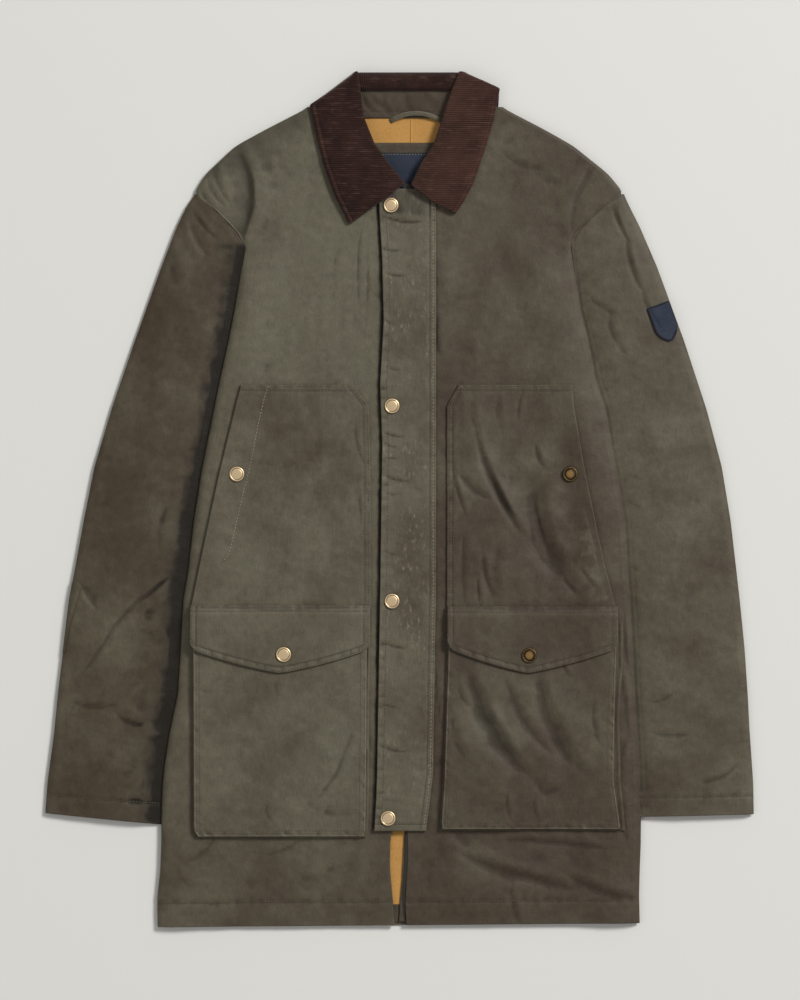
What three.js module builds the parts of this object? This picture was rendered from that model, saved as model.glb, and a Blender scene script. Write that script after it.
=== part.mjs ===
// A thigh-length waxed cotton jacket with a corduroy collar, laid flat on its back.
// Millimetres. +X is right and +Y is towards the collar as the front is seen, and +Z is up.
// Each cloth piece is a wall: an outer grid of points and the same grid moved in by its thickness.

import * as THREE from 'three';

// Cloth and seams
const CLOTH = 1.6;
const LINING = 0.9;
const CORDUROY = 2.6;
const DOUBLED_CLOTH = 1.8;
const TRIM = 0.8;
const SEAM = 0.3;

// Heights above the surface that the jacket lies on
const FRONT_TOP = 7.2;
const BODY_FOLD = 3.7;
const SLEEVE_TOP = 6.9;
const SLEEVE_FOLD = 3.4;
const TUCKED_TOP = 3.8;
const TUCKED_FOLD = 1.9;
const BELLOWS = 3.6;
const COLLAR_LIFT = 2.9;
const LIFT_START = 352;
const LIFT_END = 382;
const LEAF_REST = 9.7;
const ROLL_RISE = 2.3;
const ROLL_TOP = 14.6;
const STAND_HEAD = 10.4;
// Shares of the lift that reach the fronts and the folds at their sides
const FRONT_LIFT = 0.4;
const FOLD_LIFT = 0.42;

const BACK_INSIDE = CLOTH;
const LINING_TOP = BACK_INSIDE + SEAM + LINING;
const FRONT_INSIDE = FRONT_TOP - CLOTH;
const PLACKET_TOP = FRONT_TOP + SEAM + DOUBLED_CLOTH;
const PATCH_TOP = FRONT_TOP + SEAM + CLOTH;
const POCKET_TOP = FRONT_TOP + SEAM + BELLOWS + CLOTH;
const FLAP_TOP = POCKET_TOP + SEAM + DOUBLED_CLOTH;

// Rounded folds and edges
const FOLD_RADIUS = 5;
const POCKET_RADIUS = 3;
const LEAF_RADIUS = 5;
const TUCK_WIDTH = 30;
// Where columns stand in a rounded edge, as shares of its radius
const ARC = [0, 0.25, 1];
// A radius is at most the panel's width over this.
const WIDTH_OVER_RADIUS = 2.2;

// Corduroy
const WALE_PITCH = 2.27;
const WALE_DEPTH = 0.45;

// Snap caps
const SNAP_RADIUS = 8.3;
const SNAP_HEIGHT = 2.6;
const SNAP_SIDES = 16;

// The body's outer edges: its side folds, then the armhole seams, then the shoulder lines.
const BODY = [
  { y: -460, left: -261.5, right: 259.7 },
  { y: -430, left: -262, right: 259 },
  { y: -400, left: -258.7, right: 259.7 },
  { y: -372, left: -257.6, right: 260.8 },
  { y: -347, left: -257.6, right: 261 },
  { y: -310, left: -256.5, right: 260.5 },
  { y: -286, left: -254, right: 260 },
  { y: -250, left: -248.5, right: 257.6 },
  { y: -211, left: -240, right: 255 },
  { y: -160, left: -236.5, right: 253 },
  { y: -108, left: -234, right: 250 },
  { y: -80, left: -229, right: 248 },
  { y: -23, left: -222.5, right: 244.6 },
  { y: 35, left: -213.5, right: 235 },
  { y: 97, left: -201, right: 224 },
  { y: 131, left: -194, right: 213 },
  { y: 172, left: -185, right: 205 },
  { y: 208, left: -178, right: 196 },
  { y: 250, left: -171, right: 190.6 },
  { y: 273, left: -167.5, right: 188 },
  { y: 284.6, left: -173.3, right: 190 },
  { y: 294.3, left: -180.9, right: 197 },
  { y: 316, left: -202.6, right: 219.8 },
  { y: 330, left: -219.8, right: 240 },
  { y: 352, left: -211.5, right: 225.5 },
  { y: 382, left: -179.5, right: 188 },
  { y: 399, left: -146.5, right: 158.2 },
  { y: 424, left: -98, right: 110 },
];
const ARMPIT = 273;
const SEAM_FOOT = 284.6;
const SHOULDER = 330;
const NECK_POINT = 424;

// The greatest distance between rows
const BODY_STEP = 64;
const UPPER_SLEEVE_STEP = 30;
const TRIM_STEP = 40;
const PATCH_STEP = 22;
const POCKET_STEP = 24;

// The sleeves' outer edges at the body's stations
const SLEEVE = [
  { y: -347, left: -383, right: 383 },
  { y: -310, left: -380.5, right: 382.4 },
  { y: -250, left: -373.2, right: 378.5 },
  { y: -211, left: -369.5, right: 376.5 },
  { y: -160, left: -363.3, right: 373 },
  { y: -108, left: -357, right: 367.8 },
  { y: -23, left: -341.5, right: 358 },
  { y: 35, left: -330, right: 348.5 },
  { y: 97, left: -311.6, right: 332.1 },
  { y: 172, left: -286, right: 307.5 },
  { y: 250, left: -258, right: 279 },
  { y: 294.3, left: -241, right: 260 },
  { y: 330, left: -224.5, right: 243.5 },
];
const CUFF = SLEEVE[0].y;
const CUFF_SLANT_START = -250;
// A sleeve is low beside the body and reaches the front's height at the armhole.
const TUCK_END = 215;
const SLEEVE_RISE_START = 150;
const SLEEVE_RISE_END = 280;
const CUFFS = {
  left: { inner: -4.5, outer: 8 },
  right: { inner: 4, outer: 6.8 },
};

// The two fronts' edges along the zip and round the neck
const CENTRE = [
  { y: -460, left: -5, right: 6 },
  { y: -430, left: -7.5, right: 6.5 },
  { y: -400, left: -10.3, right: 7.2 },
  { y: -372, left: -10, right: 7.6 },
  { y: -347, left: -7.5, right: 8 },
  { y: 316, left: -6, right: 8 },
  { y: 330, left: -6, right: 14 },
  { y: 352, left: -12, right: 28 },
  { y: 382, left: -34, right: 46 },
  { y: 399, left: -42, right: 53 },
  { y: 424, left: -49, right: 61 },
];
const HEM_SLOPE = 0.0083;
const HEM_SLOPE_START = -372;

const PLACKET = [
  { y: -358, left: -27.5, right: 28.6 },
  { y: -324, left: -25.4, right: 33 },
  { y: -297, left: -24.5, right: 36.2 },
  { y: -98, left: -21.1, right: 39.4 },
  { y: 60, left: -18.9, right: 39.4 },
  { y: 124, left: -21.1, right: 39.4 },
  { y: 193, left: -17.3, right: 39.4 },
  { y: 260, left: -18.9, right: 39.4 },
  { y: 313, left: -22.1, right: 39.4 },
  { y: 336, left: -22, right: 39 },
];

const HAND_WARMERS = {
  left: [
    { y: -118, left: -225.5, right: -31 },
    { y: -62, left: -214, right: -31 },
    { y: 27, left: -195, right: -31 },
    { y: 101, left: -177, right: -33 },
    { y: 124, left: -171, right: -51 },
  ],
  right: [
    { y: -118, left: 51, right: 234 },
    { y: -65, left: 51, right: 220 },
    { y: 31, left: 51, right: 200 },
    { y: 102, left: 51, right: 188 },
    { y: 124, left: 64, right: 186 },
  ],
};

const POCKETS = {
  left: [
    { y: -364, left: -217, right: -39 },
    { y: -357, left: -222, right: -36.5 },
    { y: -240, left: -222.5, right: -35.5 },
    { y: -129, left: -223, right: -35 },
  ],
  right: [
    { y: -356, left: 46, right: 238 },
    { y: -348, left: 45, right: 237.5 },
    { y: -303, left: 48, right: 231 },
    { y: -240, left: 50, right: 232 },
    { y: -129, left: 53.5, right: 235 },
  ],
};

// Each flap's lower edge falls from its corners to a point under the snap.
const FLAPS = {
  left: { left: -226, right: -32, top: -114, corner: -161, point: -187, pointX: -129 },
  right: { left: 51.5, right: 235.5, top: -115, corner: -160, point: -187, pointX: 139 },
};
const FLAP_RISE = 10;
const FLAP_COLUMNS = 12;
// Rows of a flap, as shares of the way from its lower edge to its top
const FLAP_ROWS = [0, 0.35, 0.6, 0.75, 0.88, 1];

// The right edge of what shows of the elbow patch, which wraps the sleeve's outer fold
const ELBOW_PATCH = [
  { y: -160, right: -359.5 },
  { y: -134, right: -354 },
  { y: -108, right: -346.5 },
  { y: -91, right: -343.5 },
];
const ELBOW_GAP = 1.1;

const LEAVES = {
  left: [
    { y: 299, left: -55.5, right: -51 },
    { y: 318, left: -65, right: -25 },
    { y: 327.5, left: -70, right: -10.5 },
    { y: 341.5, left: -75, right: 5.4 },
    { y: 361, left: -82, right: -10.5 },
    { y: 384, left: -88, right: -27 },
    { y: 414, left: -94.5, right: -39 },
    { y: 426, left: -97, right: -40.5 },
    { y: 440, left: -78, right: -42 },
    { y: 461.5, left: -49.5, right: -45.2 },
  ],
  right: [
    { y: 310, left: 57, right: 62 },
    { y: 322, left: 33.5, right: 70 },
    { y: 339, left: 12, right: 79 },
    { y: 364.5, left: 24, right: 88 },
    { y: 382, left: 36.5, right: 94 },
    { y: 410, left: 45.6, right: 102 },
    { y: 444, left: 57, right: 108.5 },
    { y: 452, left: 60.5, right: 92 },
    { y: 461.5, left: 64.5, right: 71 },
  ],
};
const LEAF_TURN = { left: 426, right: 444 };
const LEAF_FRONT = { left: 341.5, right: 339 };
// How far along a leaf its edges take to come down to what they lie on
const ROLL_EASE = 20;
const TURN_EASE = 12;
// A leaf leaves the front's top edge this far past it.
const LEAF_PAST_FRONT = 2;

const COLLAR_FALL = [
  { y: 392, left: -90, right: 102 },
  { y: 426, left: -96, right: 107 },
  { y: 444, left: -73, right: 108 },
  { y: 461, left: -50, right: 70 },
];

const STAND_FOOT = 412;
const ROLL_FRONT = 441.7;
const ROLL_BACK = 461.7;
const ROLL_ENDS = [
  { y: ROLL_FRONT, left: -41.6, right: 55.6 },
  { y: ROLL_BACK, left: -44.6, right: 63.9 },
];
// The roll at the back of the neck, from its front edge over the top to the fall
const ROLL_SECTION = [
  { y: ROLL_FRONT, z: 13.4 },
  { y: ROLL_FRONT + 6, z: 14.4 },
  { y: ROLL_FRONT + 11, z: ROLL_TOP },
  { y: ROLL_FRONT + 16, z: 13 },
  { y: ROLL_BACK - 1, z: 10 },
  { y: ROLL_BACK, z: 6.5 },
  { y: ROLL_BACK - 1, z: CORDUROY + SEAM + 0.2 },
];
const ROLL_INNER_COLUMNS = 8;
const STAND = [
  { y: STAND_FOOT, left: -37, right: 44.5 },
  { y: 427, left: -38.5, right: 50 },
  { y: ROLL_FRONT + 4, left: -40, right: 54.5 },
];

// What shows of the lining, and the strips along the inside of the hem
const LINING_INSET = 10;
const SHOULDER_INSET = 26;
const HEM_FACING_FOOT = -457;
const HEM_FACING_TOP = -438;
const VENT_LINE = -1;

const LABEL_BACKING = { left: -30, right: 42, rows: [374.3, 382, 385.5] };
const NECK_LABEL = { left: -26, right: 38, rows: [336, 352, 374] };
const HANGER = {
  start: { x: -9, y: 405.5 },
  middle: { x: 17, y: 421 },
  end: { x: 44, y: 408 },
  rise: 2,
  halfWidth: 2.5,
  steps: 12,
};
const ZIP = { foot: -456, top: 330, hidden: 2.2, shown: 12, step: 200 };
const SLEEVE_PATCH = {
  x: 286, y: 191, halfWidth: 12, halfHeight: 20, tilt: 20, rows: 6, columns: 4,
};

const SNAPS = [
  { name: 'snap_placket_1', x: -9.2, y: 317.6, on: PLACKET_TOP },
  { name: 'snap_placket_2', x: -8.1, y: 101, on: PLACKET_TOP },
  { name: 'snap_placket_3', x: -8.1, y: -109.6, on: PLACKET_TOP },
  { name: 'snap_placket_4', x: -12.4, y: -344, on: PLACKET_TOP },
  { name: 'snap_hand_warmer_right', x: -175.5, y: 27.5, on: PATCH_TOP },
  { name: 'snap_hand_warmer_left', x: 184.1, y: 27.5, on: PATCH_TOP },
  { name: 'snap_pocket_right', x: -125, y: -167, on: FLAP_TOP },
  { name: 'snap_pocket_left', x: 139.9, y: -168, on: FLAP_TOP },
];

// The largest folds: a straight stretch, its half width, and its height (below zero is a trough).
const CHEST_FOLDS = [
  { x1: -190, y1: 345, x2: -172, y2: 292, reach: 16, height: -1.6 },
  { x1: -158, y1: 352, x2: -160, y2: 285, reach: 18, height: 1.5 },
  { x1: 165, y1: 350, x2: 182, y2: 300, reach: 20, height: -1.6 },
  { x1: -150, y1: 250, x2: -165, y2: 150, reach: 20, height: 1.2 },
  { x1: 120, y1: 290, x2: 160, y2: 190, reach: 26, height: 1.4 },
  { x1: 60, y1: -385, x2: 215, y2: -410, reach: 18, height: -1.5 },
  { x1: -230, y1: -392, x2: -90, y2: -384, reach: 16, height: -1.2 },
];
const SLEEVE_FOLDS = [
  { x1: -262, y1: -92, x2: -318, y2: -157, reach: 18, height: -1.7 },
  { x1: -256, y1: -60, x2: -345, y2: -100, reach: 20, height: 2 },
  { x1: -338, y1: -190, x2: -312, y2: -168, reach: 16, height: -1.6 },
  { x1: -225, y1: 262, x2: -262, y2: 60, reach: 26, height: 1.6 },
  { x1: 226, y1: 310, x2: 250, y2: 235, reach: 16, height: -1.6 },
  { x1: 250, y1: 235, x2: 258, y2: 180, reach: 14, height: -1.4 },
  { x1: 262, y1: 110, x2: 300, y2: -40, reach: 26, height: 1.6 },
  { x1: 270, y1: -218, x2: 292, y2: -206, reach: 16, height: -1.5 },
  { x1: 322, y1: -302, x2: 358, y2: -286, reach: 18, height: 1.6 },
];
const HAND_WARMER_FOLDS = [
  { x1: 76, y1: 64, x2: 126, y2: -24, reach: 18, height: 2.4 },
  { x1: 60, y1: 37, x2: 70, y2: -40, reach: 14, height: 1.8 },
  { x1: 140, y1: 60, x2: 148, y2: -88, reach: 22, height: 1.4 },
  { x1: -138, y1: 46, x2: -80, y2: 45, reach: 16, height: 1.2 },
  { x1: -70, y1: 95, x2: -60, y2: 60, reach: 16, height: 1.3 },
];
const POCKET_FOLDS = [
  { x1: 60, y1: -184, x2: 130, y2: -292, reach: 26, height: -1.8 },
  { x1: 108, y1: -205, x2: 157, y2: -292, reach: 18, height: 1.8 },
  { x1: 173, y1: -205, x2: 205, y2: -270, reach: 18, height: 1.6 },
  { x1: -97, y1: -324, x2: -37, y2: -259, reach: 20, height: 1.4 },
];

function lerp(a, b, t) {
  return a + (b - a) * t;
}

function clamp01(t) {
  return Math.min(1, Math.max(0, t));
}

function smooth(t) {
  const s = clamp01(t);
  return s * s * (3 - 2 * s);
}

// A table's column at y, on the straight lines between its rows
function at(table, column, y) {
  const last = table.length - 1;
  let i = 0;
  while (i < last - 1 && y > table[i + 1].y) i += 1;
  const t = clamp01((y - table[i].y) / (table[i + 1].y - table[i].y));
  return lerp(table[i][column], table[i + 1][column], t);
}

// The rows of the table between two heights, with long stretches divided
function stations(table, low, high, step) {
  const ys = table.map((row) => row.y).filter((y) => y >= low && y <= high);
  const rows = [ys[0]];
  for (let i = 1; i < ys.length; i += 1) {
    const parts = Math.ceil((ys[i] - ys[i - 1]) / step);
    for (let k = 1; k <= parts; k += 1) {
      rows.push(lerp(ys[i - 1], ys[i], k / parts));
    }
  }
  return rows;
}

// How far a quarter-round edge has fallen at a distance inside the edge, from 1 to 0
function quarter(distance, radius) {
  const t = 1 - clamp01(distance / radius);
  return 1 - Math.sqrt(1 - t * t);
}

// The sum of the folds at a point, each fading at its sides and ends
function folds(table, x, y) {
  let height = 0;
  for (const fold of table) {
    const dx = fold.x2 - fold.x1;
    const dy = fold.y2 - fold.y1;
    const length = Math.hypot(dx, dy);
    const along = ((x - fold.x1) * dx + (y - fold.y1) * dy) / length;
    const across = ((x - fold.x1) * dy - (y - fold.y1) * dx) / length;
    const past = Math.max(0, -along, along - length);
    const side = 1 - smooth(Math.abs(across) / fold.reach);
    const end = 1 - smooth(past / fold.reach);
    height += fold.height * side * end;
  }
  return height;
}

// The back rises over the collar's fall, which lies under it.
function lift(y) {
  return COLLAR_LIFT * clamp01((y - LIFT_START) / (LIFT_END - LIFT_START));
}

// The front's height before its folds
function frontTop(y) {
  return FRONT_TOP + lift(y) * FRONT_LIFT;
}

// The height where the front meets the back at a fold
function bodyFold(y) {
  return BODY_FOLD + lift(y) * FOLD_LIFT;
}

function hemShift(x, y) {
  const t = clamp01((HEM_SLOPE_START - y) / (HEM_SLOPE_START - BODY[0].y));
  return HEM_SLOPE * x * t;
}

// Distances from a row's left end: the edge arcs and an even spread between them
function columnsAcross(width, spec) {
  const radius = Math.min(spec.radius, width / WIDTH_OVER_RADIUS);
  const left = spec.leftArc ? ARC.map((t) => t * radius) : [0];
  const right = spec.rightArc ? ARC.map((t) => width - t * radius).reverse() : [width];
  const from = left[left.length - 1];
  const to = right[0];
  const middle = [];
  for (let i = 1; i < spec.spread; i += 1) {
    middle.push(lerp(from, to, i / spec.spread));
  }
  return [...left, ...middle, ...right];
}

// A height rounded down or up to the heights that the nearest edges are given
function rounded(height, edges, radius) {
  let change = 0;
  for (const [edge, distance] of edges) {
    const step = edge === undefined ? 0 : (edge - height) * quarter(distance, radius);
    if (Math.abs(step) > Math.abs(change)) change = step;
  }
  return height + change;
}

// The outer points of a panel. A row has y, left, right and the heights of any rounded edges.
function panelGrid(spec) {
  const low = spec.rows[0].y;
  return spec.rows.map((row) => {
    const width = row.right - row.left;
    const radius = Math.min(spec.radius, width / WIDTH_OVER_RADIUS);
    return columnsAcross(width, spec).map((distance) => {
      const x = row.left + distance;
      const edges = [
        [row.leftEdge, distance],
        [row.rightEdge, width - distance],
        [spec.lowEdge, row.y - low],
      ];
      const y = row.y + (spec.shift ? spec.shift(x, row.y) : 0);
      return new THREE.Vector3(x, y, rounded(spec.top(x, row.y), edges, radius));
    });
  });
}

// The unit normal at a grid point, pointing up for a flat panel
function gridNormal(grid, r, c) {
  const rows = grid.length - 1;
  const columns = grid[0].length - 1;
  const across = grid[r][Math.min(c + 1, columns)].clone().sub(grid[r][Math.max(c - 1, 0)]);
  const up = grid[Math.min(r + 1, rows)][c].clone().sub(grid[Math.max(r - 1, 0)][c]);
  return across.cross(up).normalize();
}

// The grid moved along its normals, kept above or below a height where a function gives one
function moved(grid, distance, limits = {}) {
  return grid.map((row, r) => row.map((point, c) => {
    const next = point.clone().addScaledVector(gridNormal(grid, r, c), distance);
    if (limits.low) next.z = Math.max(next.z, limits.low(next.x, next.y));
    if (limits.high) next.z = Math.min(next.z, limits.high(next.x, next.y));
    return next;
  }));
}

// The border of a grid, anticlockwise from above, with each point's place along it
function border(grid) {
  const rows = grid.length - 1;
  const columns = grid[0].length - 1;
  const points = [];
  for (let c = 0; c < columns; c += 1) points.push({ at: c / columns, r: 0, c });
  for (let r = 0; r < rows; r += 1) points.push({ at: 1 + r / rows, r, c: columns });
  for (let c = columns; c > 0; c -= 1) points.push({ at: 3 - c / columns, r: rows, c });
  for (let r = rows; r > 0; r -= 1) points.push({ at: 4 - r / rows, r, c: 0 });
  return points;
}

// A closed wall between an upper and a lower grid, which may differ in how finely they are divided
function wall(upper, lower) {
  const positions = [];
  const index = [];
  const offset = [0, upper.length * upper[0].length];
  for (const grid of [upper, lower]) {
    for (const row of grid) {
      for (const point of row) positions.push(point.x, point.y, point.z);
    }
  }
  const id = (side, r, c) => offset[side] + r * (side ? lower : upper)[0].length + c;
  [upper, lower].forEach((grid, side) => {
    for (let r = 0; r < grid.length - 1; r += 1) {
      for (let c = 0; c < grid[0].length - 1; c += 1) {
        const quad = [id(side, r, c), id(side, r, c + 1), id(side, r + 1, c + 1), id(side, r + 1, c)];
        const [a, b, d, e] = side ? quad.reverse() : quad;
        index.push(a, b, d, a, d, e);
      }
    }
  });
  const top = border(upper);
  const base = border(lower);
  let i = 0;
  let j = 0;
  while (i < top.length || j < base.length) {
    const a = id(0, top[i % top.length].r, top[i % top.length].c);
    const b = id(1, base[j % base.length].r, base[j % base.length].c);
    const nextTop = i + 1 < top.length ? top[i + 1].at : 4;
    const nextBase = j + 1 < base.length ? base[j + 1].at : 4;
    if (j < base.length && (nextBase <= nextTop || i >= top.length)) {
      const next = base[(j + 1) % base.length];
      index.push(a, b, id(1, next.r, next.c));
      j += 1;
    } else {
      const next = top[(i + 1) % top.length];
      index.push(a, b, id(0, next.r, next.c));
      i += 1;
    }
  }
  const geometry = new THREE.BufferGeometry();
  geometry.setAttribute('position', new THREE.Float32BufferAttribute(positions, 3));
  geometry.setIndex(index);
  geometry.computeVertexNormals();
  return geometry;
}

// A panel whose outer side is up, or down where spec.under is set
function panel(spec) {
  const outer = panelGrid(spec);
  if (spec.under) return wall(moved(outer, spec.thickness, spec.limits), outer);
  return wall(outer, moved(outer, -spec.thickness, spec.limits));
}

const MATERIALS = {
  waxed: new THREE.MeshStandardMaterial({ color: 0x5b574b, roughness: 0.6 }),
  corduroy: new THREE.MeshStandardMaterial({ color: 0x46302a, roughness: 0.9 }),
  lining: new THREE.MeshStandardMaterial({ color: 0xbe8e4b, roughness: 0.8 }),
  label: new THREE.MeshStandardMaterial({ color: 0x2a3448, roughness: 0.8 }),
  tape: new THREE.MeshStandardMaterial({ color: 0x2b2924, roughness: 0.8 }),
  brass: new THREE.MeshStandardMaterial({ color: 0xb4a077, roughness: 0.4, metalness: 1 }),
};

const jacket = new THREE.Group();

function add(name, geometry, material) {
  const mesh = new THREE.Mesh(geometry, material);
  mesh.name = name;
  jacket.add(mesh);
  return mesh;
}

// The body is folded below the armpit and on the shoulder line; the armhole seam is cut cloth.
function isFold(y) {
  return y <= ARMPIT || y > SHOULDER;
}

const bodyStations = stations(BODY, BODY[0].y, NECK_POINT, BODY_STEP);

function frontPanel(side) {
  const isLeft = side === 'left';
  const rows = bodyStations.map((y) => {
    const edge = isFold(y) ? bodyFold(y) + SEAM / 2 : undefined;
    return {
      y,
      left: isLeft ? at(BODY, 'left', y) : at(CENTRE, 'right', y),
      right: isLeft ? at(CENTRE, 'left', y) : at(BODY, 'right', y),
      leftEdge: isLeft ? edge : undefined,
      rightEdge: isLeft ? undefined : edge,
    };
  });
  return panel({
    rows,
    radius: FOLD_RADIUS,
    leftArc: isLeft,
    rightArc: !isLeft,
    spread: 8,
    thickness: CLOTH,
    shift: hemShift,
    top: (x, y) => frontTop(y) + folds(CHEST_FOLDS, x, y),
    limits: { low: (x, y) => bodyFold(y) + SEAM / 2 },
  });
}

function backPanel() {
  const rows = bodyStations.map((y) => {
    const edge = isFold(y) ? bodyFold(y) - SEAM / 2 : undefined;
    return {
      y,
      left: at(BODY, 'left', y),
      right: at(BODY, 'right', y),
      leftEdge: edge,
      rightEdge: edge,
    };
  });
  return panel({
    rows,
    radius: FOLD_RADIUS,
    leftArc: true,
    rightArc: true,
    spread: 2,
    thickness: CLOTH,
    under: true,
    shift: hemShift,
    top: (x, y) => lift(y),
    limits: { high: (x, y) => bodyFold(y) - SEAM / 2 },
  });
}

// The lining stops short of the folds, further on the slanting shoulders.
function liningInset(y) {
  return lerp(LINING_INSET, SHOULDER_INSET, clamp01((y - SEAM_FOOT) / (LIFT_START - SEAM_FOOT)));
}

function backLining() {
  const between = stations(BODY, HEM_FACING_TOP, STAND_FOOT, BODY_STEP);
  const ys = [HEM_FACING_TOP + SEAM, ...between, STAND_FOOT];
  const rows = ys.map((y) => ({
    y,
    left: at(BODY, 'left', y) + liningInset(y),
    right: at(BODY, 'right', y) - liningInset(y),
  }));
  return panel({
    rows,
    radius: FOLD_RADIUS,
    spread: 2,
    thickness: LINING,
    shift: hemShift,
    top: (x, y) => LINING_TOP + lift(y),
  });
}

function hemFacing(side) {
  const rows = [HEM_FACING_FOOT, HEM_FACING_TOP].map((y) => ({
    y,
    left: side === 'left' ? at(BODY, 'left', y) + LINING_INSET : VENT_LINE + SEAM / 2,
    right: side === 'left' ? VENT_LINE - SEAM / 2 : at(BODY, 'right', y) - LINING_INSET,
  }));
  return panel({
    rows,
    radius: FOLD_RADIUS,
    spread: 2,
    thickness: LINING,
    shift: hemShift,
    top: () => LINING_TOP,
  });
}

// Along a sleeve its inner edge goes from the seam's height to a thin edge beside the body.
function sleeveEdgeTop(y) {
  return lerp(TUCKED_TOP, FRONT_TOP, smooth((y - TUCK_END) / (SEAM_FOOT - TUCK_END)));
}

function sleeveTop(side, x, y) {
  const inner = Math.abs(at(BODY, side, y));
  const edge = sleeveEdgeTop(y);
  const risen = smooth((y - SLEEVE_RISE_START) / (SLEEVE_RISE_END - SLEEVE_RISE_START));
  const rest = lerp(SLEEVE_TOP, FRONT_TOP, risen);
  const t = smooth((Math.abs(x) - inner) / TUCK_WIDTH);
  return lerp(edge, rest, t) + folds(SLEEVE_FOLDS, x, y) * t;
}

// The height where the two halves of a sleeve meet, low at the inner edge and higher outside
function sleeveFold(side, x, y) {
  const inner = Math.abs(at(BODY, side, y));
  return lerp(TUCKED_FOLD, SLEEVE_FOLD, smooth((Math.abs(x) - inner) / TUCK_WIDTH));
}

function sleeveRows(side, upper) {
  const isLeft = side === 'left';
  const step = upper ? UPPER_SLEEVE_STEP : BODY_STEP;
  return stations(BODY, CUFF, SHOULDER, step).map((y) => {
    const inner = at(BODY, side, y) + (isLeft ? -SEAM : SEAM);
    const outer = at(SLEEVE, side, y);
    const gap = (upper ? 1 : -1) * SEAM / 2;
    const innerEdge = isFold(y) ? sleeveFold(side, inner, y) + gap : undefined;
    const outerEdge = sleeveFold(side, outer, y) + gap;
    return {
      y,
      left: isLeft ? outer : inner,
      right: isLeft ? inner : outer,
      leftEdge: isLeft ? outerEdge : innerEdge,
      rightEdge: isLeft ? innerEdge : outerEdge,
    };
  });
}

// The cuff isn't square to the rows, so the lowest rows slant.
function cuffShift(side) {
  return (x, y) => {
    const inner = Math.abs(at(BODY, side, y));
    const outer = Math.abs(at(SLEEVE, side, y));
    const t = clamp01((Math.abs(x) - inner) / (outer - inner));
    const share = clamp01((CUFF_SLANT_START - y) / (CUFF_SLANT_START - CUFF));
    return lerp(CUFFS[side].inner, CUFFS[side].outer, t) * share;
  };
}

function upperSleeve(side) {
  return panel({
    rows: sleeveRows(side, true),
    radius: FOLD_RADIUS,
    leftArc: true,
    rightArc: true,
    spread: 5,
    thickness: CLOTH,
    shift: cuffShift(side),
    top: (x, y) => sleeveTop(side, x, y),
    limits: { low: (x, y) => sleeveFold(side, x, y) + SEAM / 2 },
  });
}

function underSleeve(side) {
  return panel({
    rows: sleeveRows(side, false),
    radius: FOLD_RADIUS,
    leftArc: true,
    rightArc: true,
    spread: 2,
    thickness: CLOTH,
    under: true,
    shift: cuffShift(side),
    top: () => 0,
    limits: { high: (x, y) => sleeveFold(side, x, y) - SEAM / 2 },
  });
}

function evenRows(table, step, extra = []) {
  const low = table[0].y;
  const high = table[table.length - 1].y;
  const ys = stations(table, low, high, step).concat(extra).sort((a, b) => a - b);
  return ys.map((y) => ({ y, left: at(table, 'left', y), right: at(table, 'right', y) }));
}

function stormFlap() {
  return panel({
    rows: evenRows(PLACKET, TRIM_STEP),
    radius: FOLD_RADIUS,
    spread: 3,
    thickness: DOUBLED_CLOTH,
    top: () => PLACKET_TOP,
  });
}

function handWarmer(side) {
  return panel({
    rows: evenRows(HAND_WARMERS[side], PATCH_STEP),
    radius: FOLD_RADIUS,
    spread: 9,
    thickness: CLOTH,
    top: (x, y) => PATCH_TOP + folds(HAND_WARMER_FOLDS, x, y),
    limits: { low: () => FRONT_TOP + SEAM },
  });
}

function bellowsPocket(side) {
  const table = POCKETS[side];
  const arcRows = ARC.slice(1).map((t) => table[0].y + t * POCKET_RADIUS);
  const rows = evenRows(table, POCKET_STEP, arcRows);
  for (const row of rows) {
    row.leftEdge = FRONT_TOP + SEAM;
    row.rightEdge = FRONT_TOP + SEAM;
  }
  return panel({
    rows,
    radius: POCKET_RADIUS,
    leftArc: true,
    rightArc: true,
    spread: 8,
    lowEdge: FRONT_TOP + SEAM,
    thickness: CLOTH,
    top: (x, y) => POCKET_TOP + folds(POCKET_FOLDS, x, y),
    limits: { low: () => FRONT_TOP + SEAM },
  });
}

// A flap hangs from its top edge over the pocket's mouth; each column ends on the pointed edge.
function pocketFlap(side) {
  const flap = FLAPS[side];
  const grid = FLAP_ROWS.map((share) => {
    const row = [];
    for (let c = 0; c <= FLAP_COLUMNS; c += 1) {
      const x = lerp(flap.left, flap.right, c / FLAP_COLUMNS);
      const corner = x < flap.pointX ? flap.left : flap.right;
      const fromPoint = Math.abs(x - flap.pointX) / Math.abs(corner - flap.pointX);
      const edge = lerp(flap.point, flap.corner, fromPoint);
      const y = lerp(edge, flap.top, share);
      const rise = smooth((flap.top - y) / FLAP_RISE);
      row.push(new THREE.Vector3(x, y, lerp(PATCH_TOP + SEAM + DOUBLED_CLOTH, FLAP_TOP, rise)));
    }
    return row;
  });
  const under = grid.map((row) => row.map((point) => point.clone().setZ(point.z - DOUBLED_CLOTH)));
  return wall(grid, under);
}

// A leaf lies on the front up to the front's top edge, and past it on the collar's fall.
function leafFloor(y) {
  const shoulder = frontTop(y) + SEAM;
  return y < NECK_POINT + LEAF_PAST_FRONT ? shoulder : COLLAR_LIFT + SEAM;
}

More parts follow.
